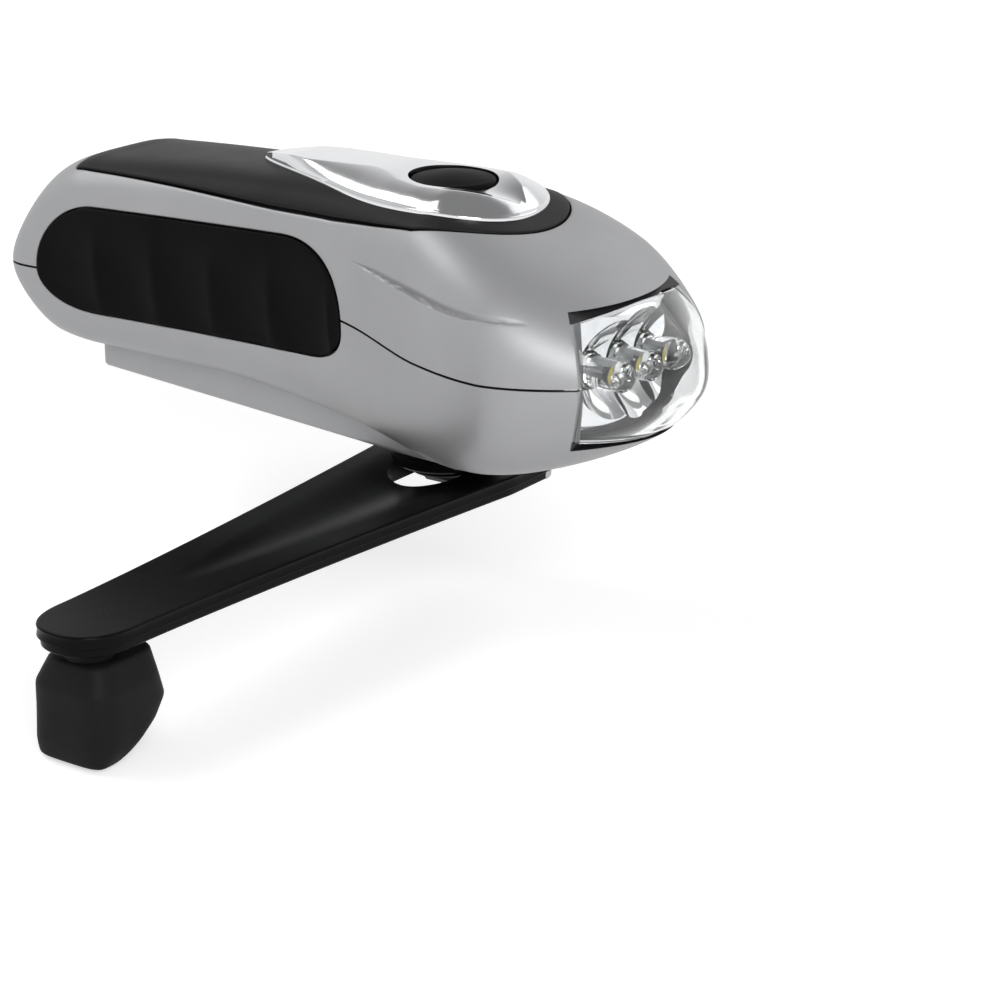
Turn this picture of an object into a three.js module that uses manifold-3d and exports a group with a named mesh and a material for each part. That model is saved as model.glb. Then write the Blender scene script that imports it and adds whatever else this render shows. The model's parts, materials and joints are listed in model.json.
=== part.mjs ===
// Hand crank flashlight: a two-part moulded housing with a chrome bezel and rubber grips, three
// lamps behind a clear nose, and a folding crank that drives a small generator through spur gears.
// Millimetres. +X points out of the lens, +Z is up, and the crank shaft's axis is the Z axis while
// the pieces are made. The housing halves meet at z = 0 at both ends, and higher under the grips.
import * as THREE from 'three';
import { mergeVertices } from 'three/addons/utils/BufferGeometryUtils.js';
import Module from 'manifold-3d';

const wasm = await Module();
wasm.setup();
const { smoothstep, clamp, degToRad, lerp } = THREE.MathUtils;

// Fits
const gap = 0.3;                    // left between pieces that touch
const run = 0.5;                    // running clearance beside a wheel
const overrun = 2;                  // how far a cutting tool passes the surface

// Housing plan, as distances from the crank axis
const tail_reach = 89;
const nose_reach = 52;
const tail_half_width = 18.05;
const waist_half_width = 15.7;
const head_half_width = 25.4;
const tail_corner_length = 11.4;     // over which the tail's corners turn in
const waist_x = 20;                 // behind the axis, where the handle is narrowest
const flare_x = 14;                 // behind the axis, where the head starts to widen
const head_length = 25.3;           // from the head's widest place to the nose
const tail_plan_power = 4;          // superellipse powers of the rounded ends
const nose_plan_power = 1.55;

// Housing side profile
const tail_top = 20;
const head_top = 22.9;
const top_ease_power = 2.3;         // how late the top levels out towards the head
const tail_slope_length = 19.5;     // over which the top turns down to the tail
const head_top_x = 5;
const brow_length = 44.4;           // over which the top turns down to the nose
const tail_depth = 14.9;
const head_depth = 20.3;
const tail_under_length = 11;
const belly_rear_x = 42;
const belly_front_x = 14;
const chin_length = 40;
const tail_side_power = 2;
const tail_under_power = 1.9;
const brow_power = 1.41;
const chin_power = 1.9;
const upper_section_power = 4.3;    // squareness of the cross-section over the middle plane
const lower_section_power = 3.8;    // and under it
const end_section_power = 1.85;     // at both ends
const upper_ease_length = 47.3;     // from the nose back to where the squareness starts to ease
const lower_ease_length = 36;
const housing_rings = 26;
const housing_ring_points = 24;
const hollow_rings = 16;
const hollow_ring_points = 16;
const end_ring_share = 0.3;         // of the rings, at each end
const wall = 2.4;

// Seam between the halves, raised along the handle
const seam_rise = 2.3;
const seam_fall_rear_x = 14;        // behind the axis, where the seam starts to come down
const seam_fall_front_x = 12;       // ahead of the axis, where it is down
const seam_climb_setback = 9;       // from the tail to where it starts to climb
const seam_climb_length = 30;
const seam_steps = 24;

// Keel under the housing
const keel_half_width = 9.1;
const keel_setback = 16.5;           // from the tail to the keel
const keel_level_x = 6;             // ahead of the axis, where the keel is deepest
const keel_front_x = 16.5;
const keel_rear_depth = 19.2;
const keel_depth = 22.2;
const keel_front_rise = 1.6;
const keel_chamfer = 1.2;
const keel_wall = 1.9;
const keel_nose_power = 2.4;
const keel_nose_steps = 10;
const keel_turn_share = 0.6;        // of the keel's front, where its foot starts to rise

// Black top panel
const panel_setback = 17;            // from the tail to the panel
const panel_front_x = 22;
const panel_turn_x = 7;             // ahead of the axis, where the panel's front starts to round in
const panel_rear_half_width = 13;
const panel_waist_half_width = 13.8;
const panel_flare_x = 14;           // behind the axis, where the panel starts to widen
const panel_half_width = 16.6;
const panel_steps = 8;
const panel_rear_bulge = 1.6;
const panel_low_z = 15.6;
const panel_thickness = 1.2;
const panel_proud = 0.15;

// Chrome bezel and button
const bezel_rear_x = 39.4;
const bezel_front_x = 18.4;
const bezel_wide_x = 6;
const bezel_half_width = 13.5;
const bezel_tail_power = 1.4;       // how its outline narrows to the rear tip
const bezel_tail_taper = 0.78;
const bezel_nose_power = 2.15;
const bezel_points = 32;
const bezel_edge_height = 0.9;      // height of its upright edge above the panel
const bezel_height = 2.9;
const bezel_step_shares = [1, 0.97, 0.9, 0.8, 0.66, 0.45, 0.2];
const bezel_rise_shares = [0, 0.22, 0.5, 0.76, 0.92, 1, 1];
const button_x = 3;
const button_half_length = 9.9;
const button_half_width = 6.4;
const button_clearance = 0.4;
const button_power = 2.3;
const button_points = 28;
const button_edge_z = 24.9;
const button_crown = 1.1;
const button_flange = 1.3;
const button_flange_thickness = 0.8;
const button_travel = 1.2;
const button_in_shares = [1, 1, 0.93, 0.75, 0.4];    // of its outline, from its foot to its crown
const button_up_shares = [0, 0, 0.45, 0.78, 0.95];   // of its crown's height

// Side grips
const grip_setback = 10.4;          // from the tail to the grips
const grip_front_x = 9.2;
const grip_top_z = 12;
const grip_front_top_z = 14.8;
const grip_bottom_z = 6.6;
const grip_front_bottom_z = 5.1;
const grip_rear_length = 13;         // of the rounded ends
const grip_front_length = 14;
const grip_thickness = 1.3;
const grip_proud = 0.45;
const grip_top_power = 0.8;         // how full its upper corners are
const grip_steps = 6;
const scoop_count = 5;
const scoop_depth = 0.95;
const scoop_reach = 4.5;
const scoop_half_height = 12;
const scoop_z = -1.5;

// Swoosh groove in the head's sides
const groove_rear_x = -6;
const groove_setback = 21.6;        // from the nose to the groove
const groove_rear_z = 13.1;
const groove_front_z = 10.5;
const groove_sag = 0.8;
const groove_sag_power = 0.7;
const groove_width = 1.5;
const groove_depth = 0.8;
const groove_steps = 8;

// Clear lens cover and reflector
const lens_corner_length = 15.5;    // from the nose back to its upper corners
const lens_low_corner_length = 13.8;
const lens_seam_length = 10.7;      // from the nose back to its side at the seam
const lens_steps = 10;
const lens_top_z = 11;
const lens_bottom_z = 11.2;
const lens_thickness = 1.5;
const reflector_setback = 11.5;     // from the nose
const reflector_depth = 6;
const reflector_half_height = 9.6;
const bowl_radius = 8.2;
const bowl_depth = 4.6;
const bowl_radius_shares = [0.72, 0.9, 1];
const bowl_depth_shares = [0.3, 0.62, 1];
const lamp_pitch = 7.7;
const lamp_seat = 1.5;              // ahead of the reflector's foot
const lamp_radius = 2.5;
const lamp_rim_radius = 2.9;
const lamp_rim_thickness = 1;
const lamp_length = 8.6;
const lamp_tip_shares = [1, 0.87, 0.5];        // of its radius, round its tip
const lamp_tip_back_shares = [1, 0.5, 0.13];   // of its radius, back from its tip
const lamp_lead_radius = 0.3;
const lamp_lead_spacing = 1.27;
const lamp_lead_length = 2.6;       // behind the reflector
const lamp_board_thickness = 1.6;
const lamp_board_half_width = 13;
const lamp_board_half_height = 7.5;

// Circuit board and switch
const board_rear_x = 27;
const board_front_x = 21;
const board_half_width = 11;
const board_thickness = 1.6;
const board_top_z = 13;
const board_screw_inset = 2.9;
const switch_half_size = 3.6;
const switch_height = 3.6;
const plunger_radius = 1.7;
const plunger_engagement = 1.5;

// Battery of three button cells stood on end in the tail
const cell_radius = 7.7;
const cell_length = 5.6;
const cell_count = 3;
const cell_edge = 0.7;
const battery_setback = 20.5;       // from the tail to the cells' middle
const battery_foot_z = 11.6;        // below the seam
const cradle_wall = 1.4;
const cradle_top_z = 5.5;           // below the seam
const rib_thickness = 1.6;
const rib_spread = 3.6;

// Charging socket in the tail end, clamped between the halves
const socket_nose_radius = 2.8;
const socket_bore_radius = 1.8;
const socket_bore_depth = 8.5;
const socket_length = 7;
const socket_setback = 1.4;
const socket_half_size = 3.4;
const clamp_rib_share = 0.5;        // along the socket

// Gear train, stacked up from the drive gear
const drive_top_z = -10.3;
const tooth_foot_share = 1.2;       // of the module, from the pitch circle in to the tooth's foot
const tooth_tip_share = 0.9;        // and out to its tip
const tooth_foot_width_share = 1.35; // of a quarter pitch, half the tooth's width at its foot
const tooth_tip_width_share = 0.42;
const drive_teeth = 30;
const first_wheel_teeth = 24;
const second_wheel_teeth = 21;
const pinion_teeth = 9;
const drive_module = 0.82;
const first_module = 0.8;
const second_module = 0.7;
const centre_slack = 0.12;
const cover_thickness = 1.2;
const wheel_thickness = 2.4;
const drive_thickness = 2.4;
const axle_radius = 1;
const axle_seat = 2;
const axle_boss_radius = 2.6;
const shaft_radius = 3;
const shaft_journal_radius = 2;
const bush_wall = 1.9;
const bush_length = 6;
const shaft_boss_wall = 2;
const clip_radius = 3.6;

// Generator on top of the gearbox cover
const can_radius = 11.5;
const can_height = 8.6;
const can_wall = 0.8;
const coil_inner_radius = 7.9;
const magnet_clearance = 0.6;
const magnet_height = 6.4;

// Screws
const front_screw_inset = 9;        // from the head's side to the front screws
const cover_screw_forward = 4;      // from the second idler's axle to the cover screws beside it
const drive_share = 0.8;            // of a screw's radius, for its hex drive
const screw_radius = 1.1;
const screw_head_radius = 2.2;
const screw_head_height = 1.6;
const screw_post_radius = 3.4;
const screw_seat_depth = 9;
const screw_length = 16;
const rear_screw_setback = 32.3;    // from the tail
const front_screw_setback = 33;     // from the nose
const small_screw_radius = 0.9;
const small_head_radius = 1.8;
const small_head_height = 1.1;
const small_screw_length = 6;
const board_screw_length = 4.7;
const small_post_radius = 2.2;

// Crank hub and hinge
const crank_angle = -87.4;          // degrees from +X to the arm, as the crank stands
const hub_radius = 9;
const hub_thickness = 1.9;
const knuckle_half_width = 6;
const knuckle_front = 5.5;
const hinge_offset = 11;            // from the shaft's axis back to the hinge pin
const pin_radius = 1;
const shaft_hub_depth = 3.6;
const hub_neck_depth = 1;

// Crank arm
const arm_thickness = 3.6;
const arm_hub_half_width = 14.9;
const arm_end_half_width = 7.8;
const arm_narrow_length = 10.5;     // of the rounded tip
const arm_reach = 97.5;
const arm_upper_thickness = 2;
const arm_lip = 0.5;
const arm_corner = 3;
const arm_taper_power = 1.35;
const arm_tip_power = 2.4;
const arm_steps = 10;
const arm_tip_steps = 6;
const slot_end_s = 15;
const valley_s = 22;
const valley_half_length = 28;
const valley_half_width = 9;
const valley_depth = 3;
const neck_radius = 4.2;
const neck_height = 2.4;

// Knob
const knob_setback = 8;              // from the arm's tip to the knob's axis
const knob_half_width = 8;
const knob_top_gap = 1.9;           // from the arm to the knob's highest edge
const knob_height = 16.4;
const knob_hub_side = 10.4;         // from the knob's axis towards the hub, and away from it
const knob_far_side = 7.4;
const spindle_radius = 2;
const spindle_head_radius = 2.9;
const spindle_head_height = 1.6;
const spindle_head_lift = 3.8;      // over the knob's foot
const spindle_cap = 1.1;            // of arm left over the spindle
const knob_down_shares = [0, 0.26, 0.5, 0.69, 0.835, 0.927, 1];       // of its height, from its top
const knob_hub_shares = [0.86, 0.89, 1, 0.77, 0.44, 0.18, -0.14];     // of its hub side at each height
const knob_far_shares = [0.61, 1, 0.98, 1, 1, 0.98, 0.93];            // of its far side
const knob_width_shares = [0.75, 0.975, 1, 0.99, 0.96, 0.9, 0.79];    // of its half-width
const knob_power = 4;
const knob_ring_points = 24;

// Finishes
const finish = (color, roughness, metalness) => ({ color, roughness, metalness });
const silver = finish('#b9bbbd', 0.42, 0.55);
const soft_black = finish('#2c2d2f', 0.75, 0);
const grip_black = finish('#1d1e20', 0.85, 0);
const crank_black = finish('#18191b', 0.4, 0);
const knob_black = finish('#26272a', 0.8, 0);
const chrome = finish('#dfe2e5', 0.06, 1);
const clear = finish('#eef3f5', 0.05, 0);
const lamp_clear = finish('#f0ecd2', 0.1, 0);
const steel = finish('#a9adb2', 0.35, 0.9);
const brass = finish('#b89a55', 0.4, 0.85);
const acetal = finish('#e6e3da', 0.55, 0);
const board_green = finish('#2d6a3f', 0.6, 0);
const dark_plastic = finish('#202124', 0.5, 0);
const copper = finish('#a85c32', 0.4, 0.8);
const ferrite = finish('#3a3a3d', 0.7, 0.2);

const part = new THREE.Group();
part.name = 'hand_crank_flashlight';

// Turning three.js shapes into solids and back

function solid(geometry) {
  const bare = geometry.index ? geometry : geometry.clone();
  bare.deleteAttribute('normal');
  bare.deleteAttribute('uv');
  const welded = mergeVertices(bare);
  return new wasm.Manifold(new wasm.Mesh({
    numProp: 3,
    vertProperties: new Float32Array(welded.attributes.position.array),
    triVerts: new Uint32Array(welded.index.array),
  }));
}

function add(name, body, look) {
  const mesh = body.getMesh();
  const geometry = new THREE.BufferGeometry();
  geometry.setAttribute('position', new THREE.BufferAttribute(new Float32Array(mesh.vertProperties), 3));
  geometry.setIndex(new THREE.BufferAttribute(new Uint32Array(mesh.triVerts), 1));
  geometry.computeVertexNormals();
  const piece = new THREE.Mesh(geometry, new THREE.MeshStandardMaterial({ ...look }));
  piece.name = name;
  part.add(piece);
}

// Simple solids, given by where they start and end

function box(x0, x1, y0, y1, z0, z1) {
  const geometry = new THREE.BoxGeometry(x1 - x0, y1 - y0, z1 - z0);
  geometry.translate((x0 + x1) / 2, (y0 + y1) / 2, (z0 + z1) / 2);
  return solid(geometry);
}

function upright(radius, x, y, z0, z1, sides = 18) {
  const geometry = new THREE.CylinderGeometry(radius, radius, z1 - z0, sides);
  geometry.rotateX(Math.PI / 2);
  geometry.translate(x, y, (z0 + z1) / 2);
  return solid(geometry);
}

function alongX(radius, y, z, x0, x1, sides = 16) {
  return upright(radius, 0, 0, x0, x1, sides).rotate([0, 90, 0]).translate([0, y, z]);
}

function alongY(radius, x, z, y0, y1, sides = 16) {
  return upright(radius, 0, 0, y0, y1, sides).rotate([-90, 0, 0]).translate([x, 0, z]);
}

function extruded(points, from, to) {
  const shape = new THREE.Shape(points.map(([u, v]) => new THREE.Vector2(u, v)));
  const geometry = new THREE.ExtrudeGeometry(shape, { depth: to - from, bevelEnabled: false });
  geometry.translate(0, 0, from);
  return solid(geometry);
}

// An outline in x and z, pushed from y0 to y1
function sidePrism(points, y0, y1) {
  return extruded(points, -y1, -y0).rotate([90, 0, 0]);
}

function turned(profile, sides = 24) {
  const points = profile.map(([r, z]) => new THREE.Vector2(r, z));
  const geometry = new THREE.LatheGeometry(points, sides);
  geometry.rotateX(Math.PI / 2);
  return solid(geometry);
}

function ellipsoid(a, b, c, x, y, z) {
  const geometry = new THREE.SphereGeometry(1, 18, 12);
  geometry.scale(a, b, c);
  geometry.translate(x, y, z);
  return solid(geometry);
}

// A skin through rings of equally many points, closed by a point at each end
function loft(rings, first, last) {
  const count = rings[0].length;
  const points = [first, ...rings.flat(), last];
  const end = points.length - 1;
  const at = (ring, k) => 1 + ring * count + (k % count);
  const faces = [];
  for (let k = 0; k < count; k += 1) {
    faces.push(0, at(0, k + 1), at(0, k));
    faces.push(end, at(rings.length - 1, k), at(rings.length - 1, k + 1));
    for (let ring = 0; ring + 1 < rings.length; ring += 1) {
      faces.push(at(ring, k), at(ring + 1, k + 1), at(ring + 1, k));
      faces.push(at(ring, k), at(ring, k + 1), at(ring + 1, k + 1));
    }
  }
  const geometry = new THREE.BufferGeometry();
  geometry.setAttribute('position', new THREE.BufferAttribute(new Float32Array(points.flat()), 3));
  geometry.setIndex(faces);
  return solid(geometry);
}

// Places behind (tail) and ahead (nose) of the crank axis

const tail_corner_x = tail_reach - tail_corner_length;
const tail_slope_x = tail_reach - tail_slope_length;
const tail_under_x = tail_reach - tail_under_length;
const keel_rear_x = tail_reach - keel_setback;
const panel_rear_x = tail_reach - panel_setback;
const grip_rear_x = tail_reach - grip_setback;
const battery_x = tail_reach - battery_setback;
const rear_screw_x = tail_reach - rear_screw_setback;
const head_x = nose_reach - head_length;
const brow_x = nose_reach - brow_length;
const chin_x = nose_reach - chin_length;
const upper_ease_x = nose_reach - upper_ease_length;
const lower_ease_x = nose_reach - lower_ease_length;
const seam_climb_x = tail_reach - seam_climb_setback;
const groove_front_x = nose_reach - groove_setback;
const lens_side_x = nose_reach - lens_corner_length;
const lens_low_side_x = nose_reach - lens_low_corner_length;
const lens_seam_x = nose_reach - lens_seam_length;
const reflector_front_x = nose_reach - reflector_setback;
const front_screw_x = nose_reach - front_screw_setback;
const arm_narrow_s = arm_reach - arm_narrow_length;
const knob_s = arm_reach - knob_setback;

// Housing shape

const rounded = (t, power) => Math.max(1 - clamp(t, 0, 1) ** power, 0) ** (1 / power);

function halfWidth(x, inset) {
  const rear = Math.max(-waist_x - x, 0) / (tail_corner_x - waist_x);
  const flare = smoothstep(x, -flare_x, head_x);
  const plain = waist_half_width + (tail_half_width - waist_half_width) * rear ** 2
    + (head_half_width - waist_half_width) * flare;
  const tail = rounded((-tail_corner_x - x) / (tail_reach - tail_corner_x), tail_plan_power);
  const nose = rounded((x - head_x) / (nose_reach - head_x), nose_plan_power);
  return (plain - inset) * tail * nose;
}

function topHeight(x, inset) {
  const along = clamp((x + tail_slope_x) / (tail_slope_x + head_top_x), 0, 1);
  const plain = lerp(head_top, tail_top, (1 - along) ** top_ease_power);
  const tail = rounded((-tail_slope_x - x) / (tail_reach - tail_slope_x), tail_side_power);
  const nose = rounded((x - brow_x) / (nose_reach - brow_x), brow_power);
  return (plain - inset) * tail * nose;
}

function depthBelow(x, inset) {
  const plain = lerp(tail_depth, head_depth, smoothstep(x, -belly_rear_x, belly_front_x));
  const tail = rounded((-tail_under_x - x) / (tail_reach - tail_under_x), tail_under_power);
  const nose = rounded((x - chin_x) / (nose_reach - chin_x), chin_power);
  return (plain - inset) * tail * nose;
}

function sectionPower(x, upper) {
  const full = upper ? upper_section_power : lower_section_power;
  const tail = smoothstep(-x, tail_slope_x, tail_reach);
  const nose = smoothstep(x, upper ? upper_ease_x : lower_ease_x, nose_reach);
  return lerp(full, end_section_power, Math.max(tail, nose));
}

function stations(count) {
  const ends = Math.round(count * end_ring_share);
  const middle = count - 2 * ends;
  const quarter = Math.PI / 2 / ends;
  const list = [];
  for (let i = 1; i <= ends; i += 1) {
    list.push(-tail_slope_x - (tail_reach - tail_slope_x) * Math.cos(quarter * i));
  }
  for (let i = 1; i <= middle; i += 1) {
    list.push(lerp(-tail_slope_x, brow_x, i / middle));
  }
  for (let i = 1; i < ends; i += 1) {
    list.push(brow_x + (nose_reach - brow_x) * Math.sin(quarter * i));
  }
  return list;
}

// The housing's outer shape drawn in by inset on all sides
function housing(inset, rings = housing_rings, points = housing_ring_points) {
  const squeeze = x => x * (x < 0 ? 1 - inset / tail_reach : 1 - inset / nose_reach);
  const ring = x => Array.from({ length: points }, (_, k) => {
    const angle = 2 * Math.PI * k / points;
    const [c, s] = [Math.cos(angle), Math.sin(angle)];
    const power = sectionPower(x, s >= 0);
    const reach = (Math.abs(c) ** power + Math.abs(s) ** power) ** (-1 / power);
    const tall = s >= 0 ? topHeight(x, inset) : depthBelow(x, inset);
    return [squeeze(x), halfWidth(x, inset) * c * reach, tall * s * reach];
  });
  return loft(stations(rings).map(ring), [squeeze(-tail_reach), 0, 0], [squeeze(nose_reach), 0, 0]);
}

function surfaceTop(x, y) {
  const power = sectionPower(x, true);
  return topHeight(x, 0) * rounded(Math.abs(y) / halfWidth(x, 0), power);
}

// Points of the curve |u|^power + |v|^power = 1 between two angles
function superellipse(power, from, to, steps) {
  return Array.from({ length: steps + 1 }, (_, k) => {
    const angle = lerp(from, to, k / steps);
    const [c, s] = [Math.cos(angle), Math.sin(angle)];
    const reach = (Math.abs(c) ** power + Math.abs(s) ** power) ** (-1 / power);
    return [c * reach, s * reach];
  });
}

const shape = housing(0);
const far = tail_reach + nose_reach;

// Height of the seam between the halves
function seamHeight(x) {
  const climb = smoothstep(x, -seam_climb_x, seam_climb_length - seam_climb_x);
  return seam_rise * climb * (1 - smoothstep(x, -seam_fall_rear_x, seam_fall_front_x));
}

// Everything over the seam moved by shift, or under it
function halfSpace(upper, shift) {
  const from = -seam_climb_x;
  const edge = [[-far, shift]];
  for (let i = 0; i <= seam_steps; i += 1) {
    const x = lerp(from, seam_fall_front_x, i / seam_steps);
    edge.push([x, seamHeight(x) + shift]);
  }
  edge.push([far, shift], [far, upper ? far : -far], [-far, upper ? far : -far]);
  return sidePrism(upper ? edge : edge.reverse(), -far, far);
}

const upper_half = halfSpace(true, gap / 2);
const lower_half = halfSpace(false, -gap / 2);

function keelDepth(x) {
  const along = (x + keel_rear_x) / (keel_rear_x + keel_level_x);
  return lerp(keel_rear_depth, keel_depth, clamp(along, 0, 1));
}

// The keel, drawn in by inset, up to the seam
function keel(inset) {
  const [rear, front] = [-keel_rear_x + inset, keel_front_x - inset];
  const side = [
    [rear, 0], [rear, -keel_rear_depth + inset + keel_chamfer],
    [rear + keel_chamfer, -keel_rear_depth + inset],
    [keel_level_x, -keel_depth + inset],
    [lerp(keel_level_x, front, keel_turn_share), -keel_depth + inset + keel_front_rise / 3],
    [front, -keel_depth + inset + keel_front_rise], [front, 0],
  ];
  const half = keel_half_width - inset;
  const plan = [[rear, half], [rear, -half]];
  const turn_x = keel_level_x - keel_half_width;
  for (const [c, s] of superellipse(keel_nose_power, -Math.PI / 2, Math.PI / 2, keel_nose_steps)) {
    plan.push([turn_x + (front - turn_x) * c, half * s]);
  }
  return sidePrism(side, -half, half).intersect(extruded(plan, -far, 0));
}

// Outlines

function oval(a, b, power, count) {
  return superellipse(power, 0, 2 * Math.PI, count).slice(0, -1).map(([u, v]) => [a * u, b * v]);
}

function panelOutline(grow) {
  const half = [];
  for (let i = 1; i < panel_steps; i += 1) {
    const angle = Math.PI / 2 * i / panel_steps;
    half.push([panel_turn_x + (panel_front_x - panel_turn_x + grow) * Math.cos(angle),
      (panel_half_width + grow) * Math.sin(angle)]);
  }
  for (let i = 0; i <= panel_steps; i += 1) {
    const x = lerp(panel_turn_x, -panel_flare_x, i / panel_steps);
    const flare = smoothstep(x, -panel_flare_x, panel_turn_x);
    half.push([x, lerp(panel_waist_half_width, panel_half_width, flare) + grow]);
  }
  half.push([-panel_rear_x - grow, panel_rear_half_width + grow]);
  half.push([-panel_rear_x - panel_rear_bulge / 2 - grow, panel_rear_half_width / 2]);
  const low = half.map(([x, y]) => [x, -y]).reverse();
  return [[panel_front_x + grow, 0], ...half, [-panel_rear_x - panel_rear_bulge - grow, 0], ...low];
}

const bezel_tail = bezel_rear_x + bezel_wide_x;

// Teardrop of the bezel as [x, y] about the crank axis, shrunk to a share about the button
function teardrop(share) {
  return superellipse(bezel_nose_power, 0, 2 * Math.PI, bezel_points).slice(0, -1).map(([c, s]) => {
    const ahead = c > 0;
    const back = Math.abs(Math.atan2(s, -c)) / (Math.PI / 2);
    const t = 1 - Math.min(back, 1) ** 2;
    const tail_y = (1 - t ** bezel_tail_power) ** bezel_tail_taper * Math.sign(s);
    const x = bezel_wide_x + (ahead ? (bezel_front_x - bezel_wide_x) * c : -bezel_tail * t);
    return [lerp(button_x, x, share), bezel_half_width * (ahead ? s : tail_y) * share];
  });
}

function gripOutline(grow) {
  const points = [];
  const along = x => (x + grip_rear_x) / (grip_rear_x - grip_front_x);
  const top = x => lerp(grip_top_z, grip_front_top_z, along(x)) + grow;
  const low = x => lerp(grip_bottom_z, grip_front_bottom_z, along(x)) + grow;
  const rear = -grip_rear_x + grip_rear_length;
  const front = -grip_front_x - grip_front_length;
  const low_front = -grip_front_x - grip_front_length / 2;
  const angles = Array.from({ length: grip_steps + 1 }, (_, i) => Math.PI / 2 * i / grip_steps);
  for (const angle of angles) {
    points.push([front + (grip_front_length + grow) * Math.cos(angle) ** grip_top_power,
      top(front) * Math.sin(angle) ** grip_top_power]);
  }
  for (const angle of angles) {
    points.push([rear - (grip_rear_length + grow) * Math.sin(angle), top(rear) * Math.cos(angle)]);
  }
  for (const angle of angles.slice(1)) {
    points.push([rear - (grip_rear_length + grow) * Math.cos(angle), -low(rear) * Math.sin(angle)]);
  }
  for (const angle of angles.slice(0, -1)) {
    points.push([low_front + (grip_front_length / 2 + grow) * Math.sin(angle),
      -low(front) * Math.cos(angle)]);
  }
  return points;
}

function lensOutline(shrink) {
  const points = [];
  for (let i = 0; i <= lens_steps; i += 1) {
    const z = lerp(-lens_bottom_z + shrink, lens_top_z - shrink, i / lens_steps);
    const away = z > 0 ? z / lens_top_z : -z / lens_bottom_z;
    points.push([lerp(lens_seam_x, z > 0 ? lens_side_x : lens_low_side_x, away ** 2) + shrink, z]);
  }
  const front = nose_reach + overrun;
  return [...points, [front, lens_top_z - shrink], [front, -lens_bottom_z + shrink]];
}

function grooveOutline() {
  const upper = [];
  const lower = [];
  for (let i = 0; i <= groove_steps; i += 1) {
    const t = i / groove_steps;
    const x = lerp(groove_rear_x, groove_front_x, t);
    const sag = groove_sag * Math.sin(Math.PI * t ** groove_sag_power);
    const z = lerp(groove_rear_z, groove_front_z, t) - sag;
    upper.push([x, z]);
    if (i > 0 && i < groove_steps) lower.unshift([x, z - groove_width * Math.sin(Math.PI * t)]);
  }
  return [...upper, ...lower];
}

// Places worked out from the sizes

const level_rise = run + wheel_thickness;
const level = [drive_top_z, drive_top_z + level_rise, drive_top_z + level_rise + level_rise];
const cover_foot_z = level[2] + run;
const cover_top_z = cover_foot_z + cover_thickness;
const can_foot_z = cover_top_z + gap;
const spread = (module, wheel) => module * (wheel + pinion_teeth) / 2 + centre_slack;
const idler_1_x = -spread(drive_module, drive_teeth);
const idler_2_x = idler_1_x - spread(first_module, first_wheel_teeth);
const rotor_x = idler_2_x - spread(second_module, second_wheel_teeth);
const bush_radius = shaft_radius + gap + bush_wall;
const keel_foot_z = -keel_depth;
const bush_foot_z = keel_foot_z + cover_thickness + gap;
const hub_top_z = keel_foot_z - gap;
const hub_foot_z = hub_top_z - hub_thickness;
const arm_top_z = hub_foot_z - gap;
const arm_foot_z = arm_top_z - arm_thickness;
const lug_radius = (arm_thickness + arm_upper_thickness) / 2;
const pin_z = arm_top_z - lug_radius;
const slot_half_width = knuckle_half_width + gap;
const knob_top_z = arm_foot_z - knob_top_gap;
const knob_foot_z = knob_top_z - knob_height;
const screw_foot_z = x => -depthBelow(x, 0);
const front_screw_y = head_half_width - front_screw_inset;
const shell_screws = [[-rear_screw_x, 0], [front_screw_x, front_screw_y], [front_screw_x, -front_screw_y]];
const cover_screw_y = first_module * first_wheel_teeth / 2;
const cover_screw_x = idler_2_x + cover_screw_forward;
const cover_screws = [[cover_screw_x, cover_screw_y], [cover_screw_x, -cover_screw_y],
  [drive_module * (drive_teeth / 2 + 1) + run + small_post_radius, 0]];
const board_screws = [[-board_rear_x + board_screw_inset, 0], [board_front_x - board_screw_inset, 0]];

// Housing halves

function gripCutter() {
  const both = sidePrism(gripOutline(gap), -far, far);
  const core = housing(grip_thickness + gap);
  return both.subtract(core);
}

function headSeat(x, y) {
  const foot = y === 0 ? -keelDepth(x) : screw_foot_z(x);
  return foot + screw_seat_depth;
}

function upperShell() {
  const panel = extruded(panelOutline(gap), panel_low_z - gap, far).subtract(housing(panel_thickness + gap));
  const groove = sidePrism(grooveOutline(), -far, far).subtract(housing(groove_depth));
  const hollow = housing(wall, hollow_rings, hollow_ring_points);
  let body = shape.subtract(hollow).subtract(panel).subtract(groove).subtract(gripCutter());
  const inner = shape.intersect(housing((wall + panel_thickness) / 2, hollow_rings, hollow_ring_points));
  const roof = head_top;
  for (const [x, y] of shell_screws) {
    body = body.add(upright(screw_post_radius, x, y, -overrun, roof).intersect(inner))
      .subtract(upright(screw_radius + gap / 2, x, y, -overrun, headSeat(x, y) + screw_length + gap, 12));
  }
  for (const [x, y] of board_screws) {
    const end = board_top_z + small_screw_length - overrun;
    body = body.add(upright(small_post_radius, x, y, board_top_z + gap, roof, 16).intersect(inner))
      .subtract(upright(small_screw_radius + gap / 2, x, y, 0, end, 12));
  }
  const hold = box(rotor_x - rib_thickness / 2, rotor_x + rib_thickness / 2, -cell_radius, cell_radius,
    can_foot_z + can_height + gap, roof);
  const cell_top = -battery_foot_z + cell_count * (cell_length + gap);
  const cap = box(-battery_x - rib_thickness / 2, -battery_x + rib_thickness / 2, -cell_radius, cell_radius,
    cell_top, roof);
  const clamp_x = -tail_reach + wall + socket_setback + socket_length * clamp_rib_share;
  const clamp_rib = box(clamp_x - rib_thickness / 2, clamp_x + rib_thickness / 2,
    -socket_half_size, socket_half_size, socket_half_size + gap, roof);
  body = body.add(hold.add(cap).add(clamp_rib).intersect(inner));
  body = body.subtract(buttonBlank(button_clearance, 0, far));
  return body.subtract(lensCutter()).subtract(socketBore()).intersect(upper_half);
}

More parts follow.
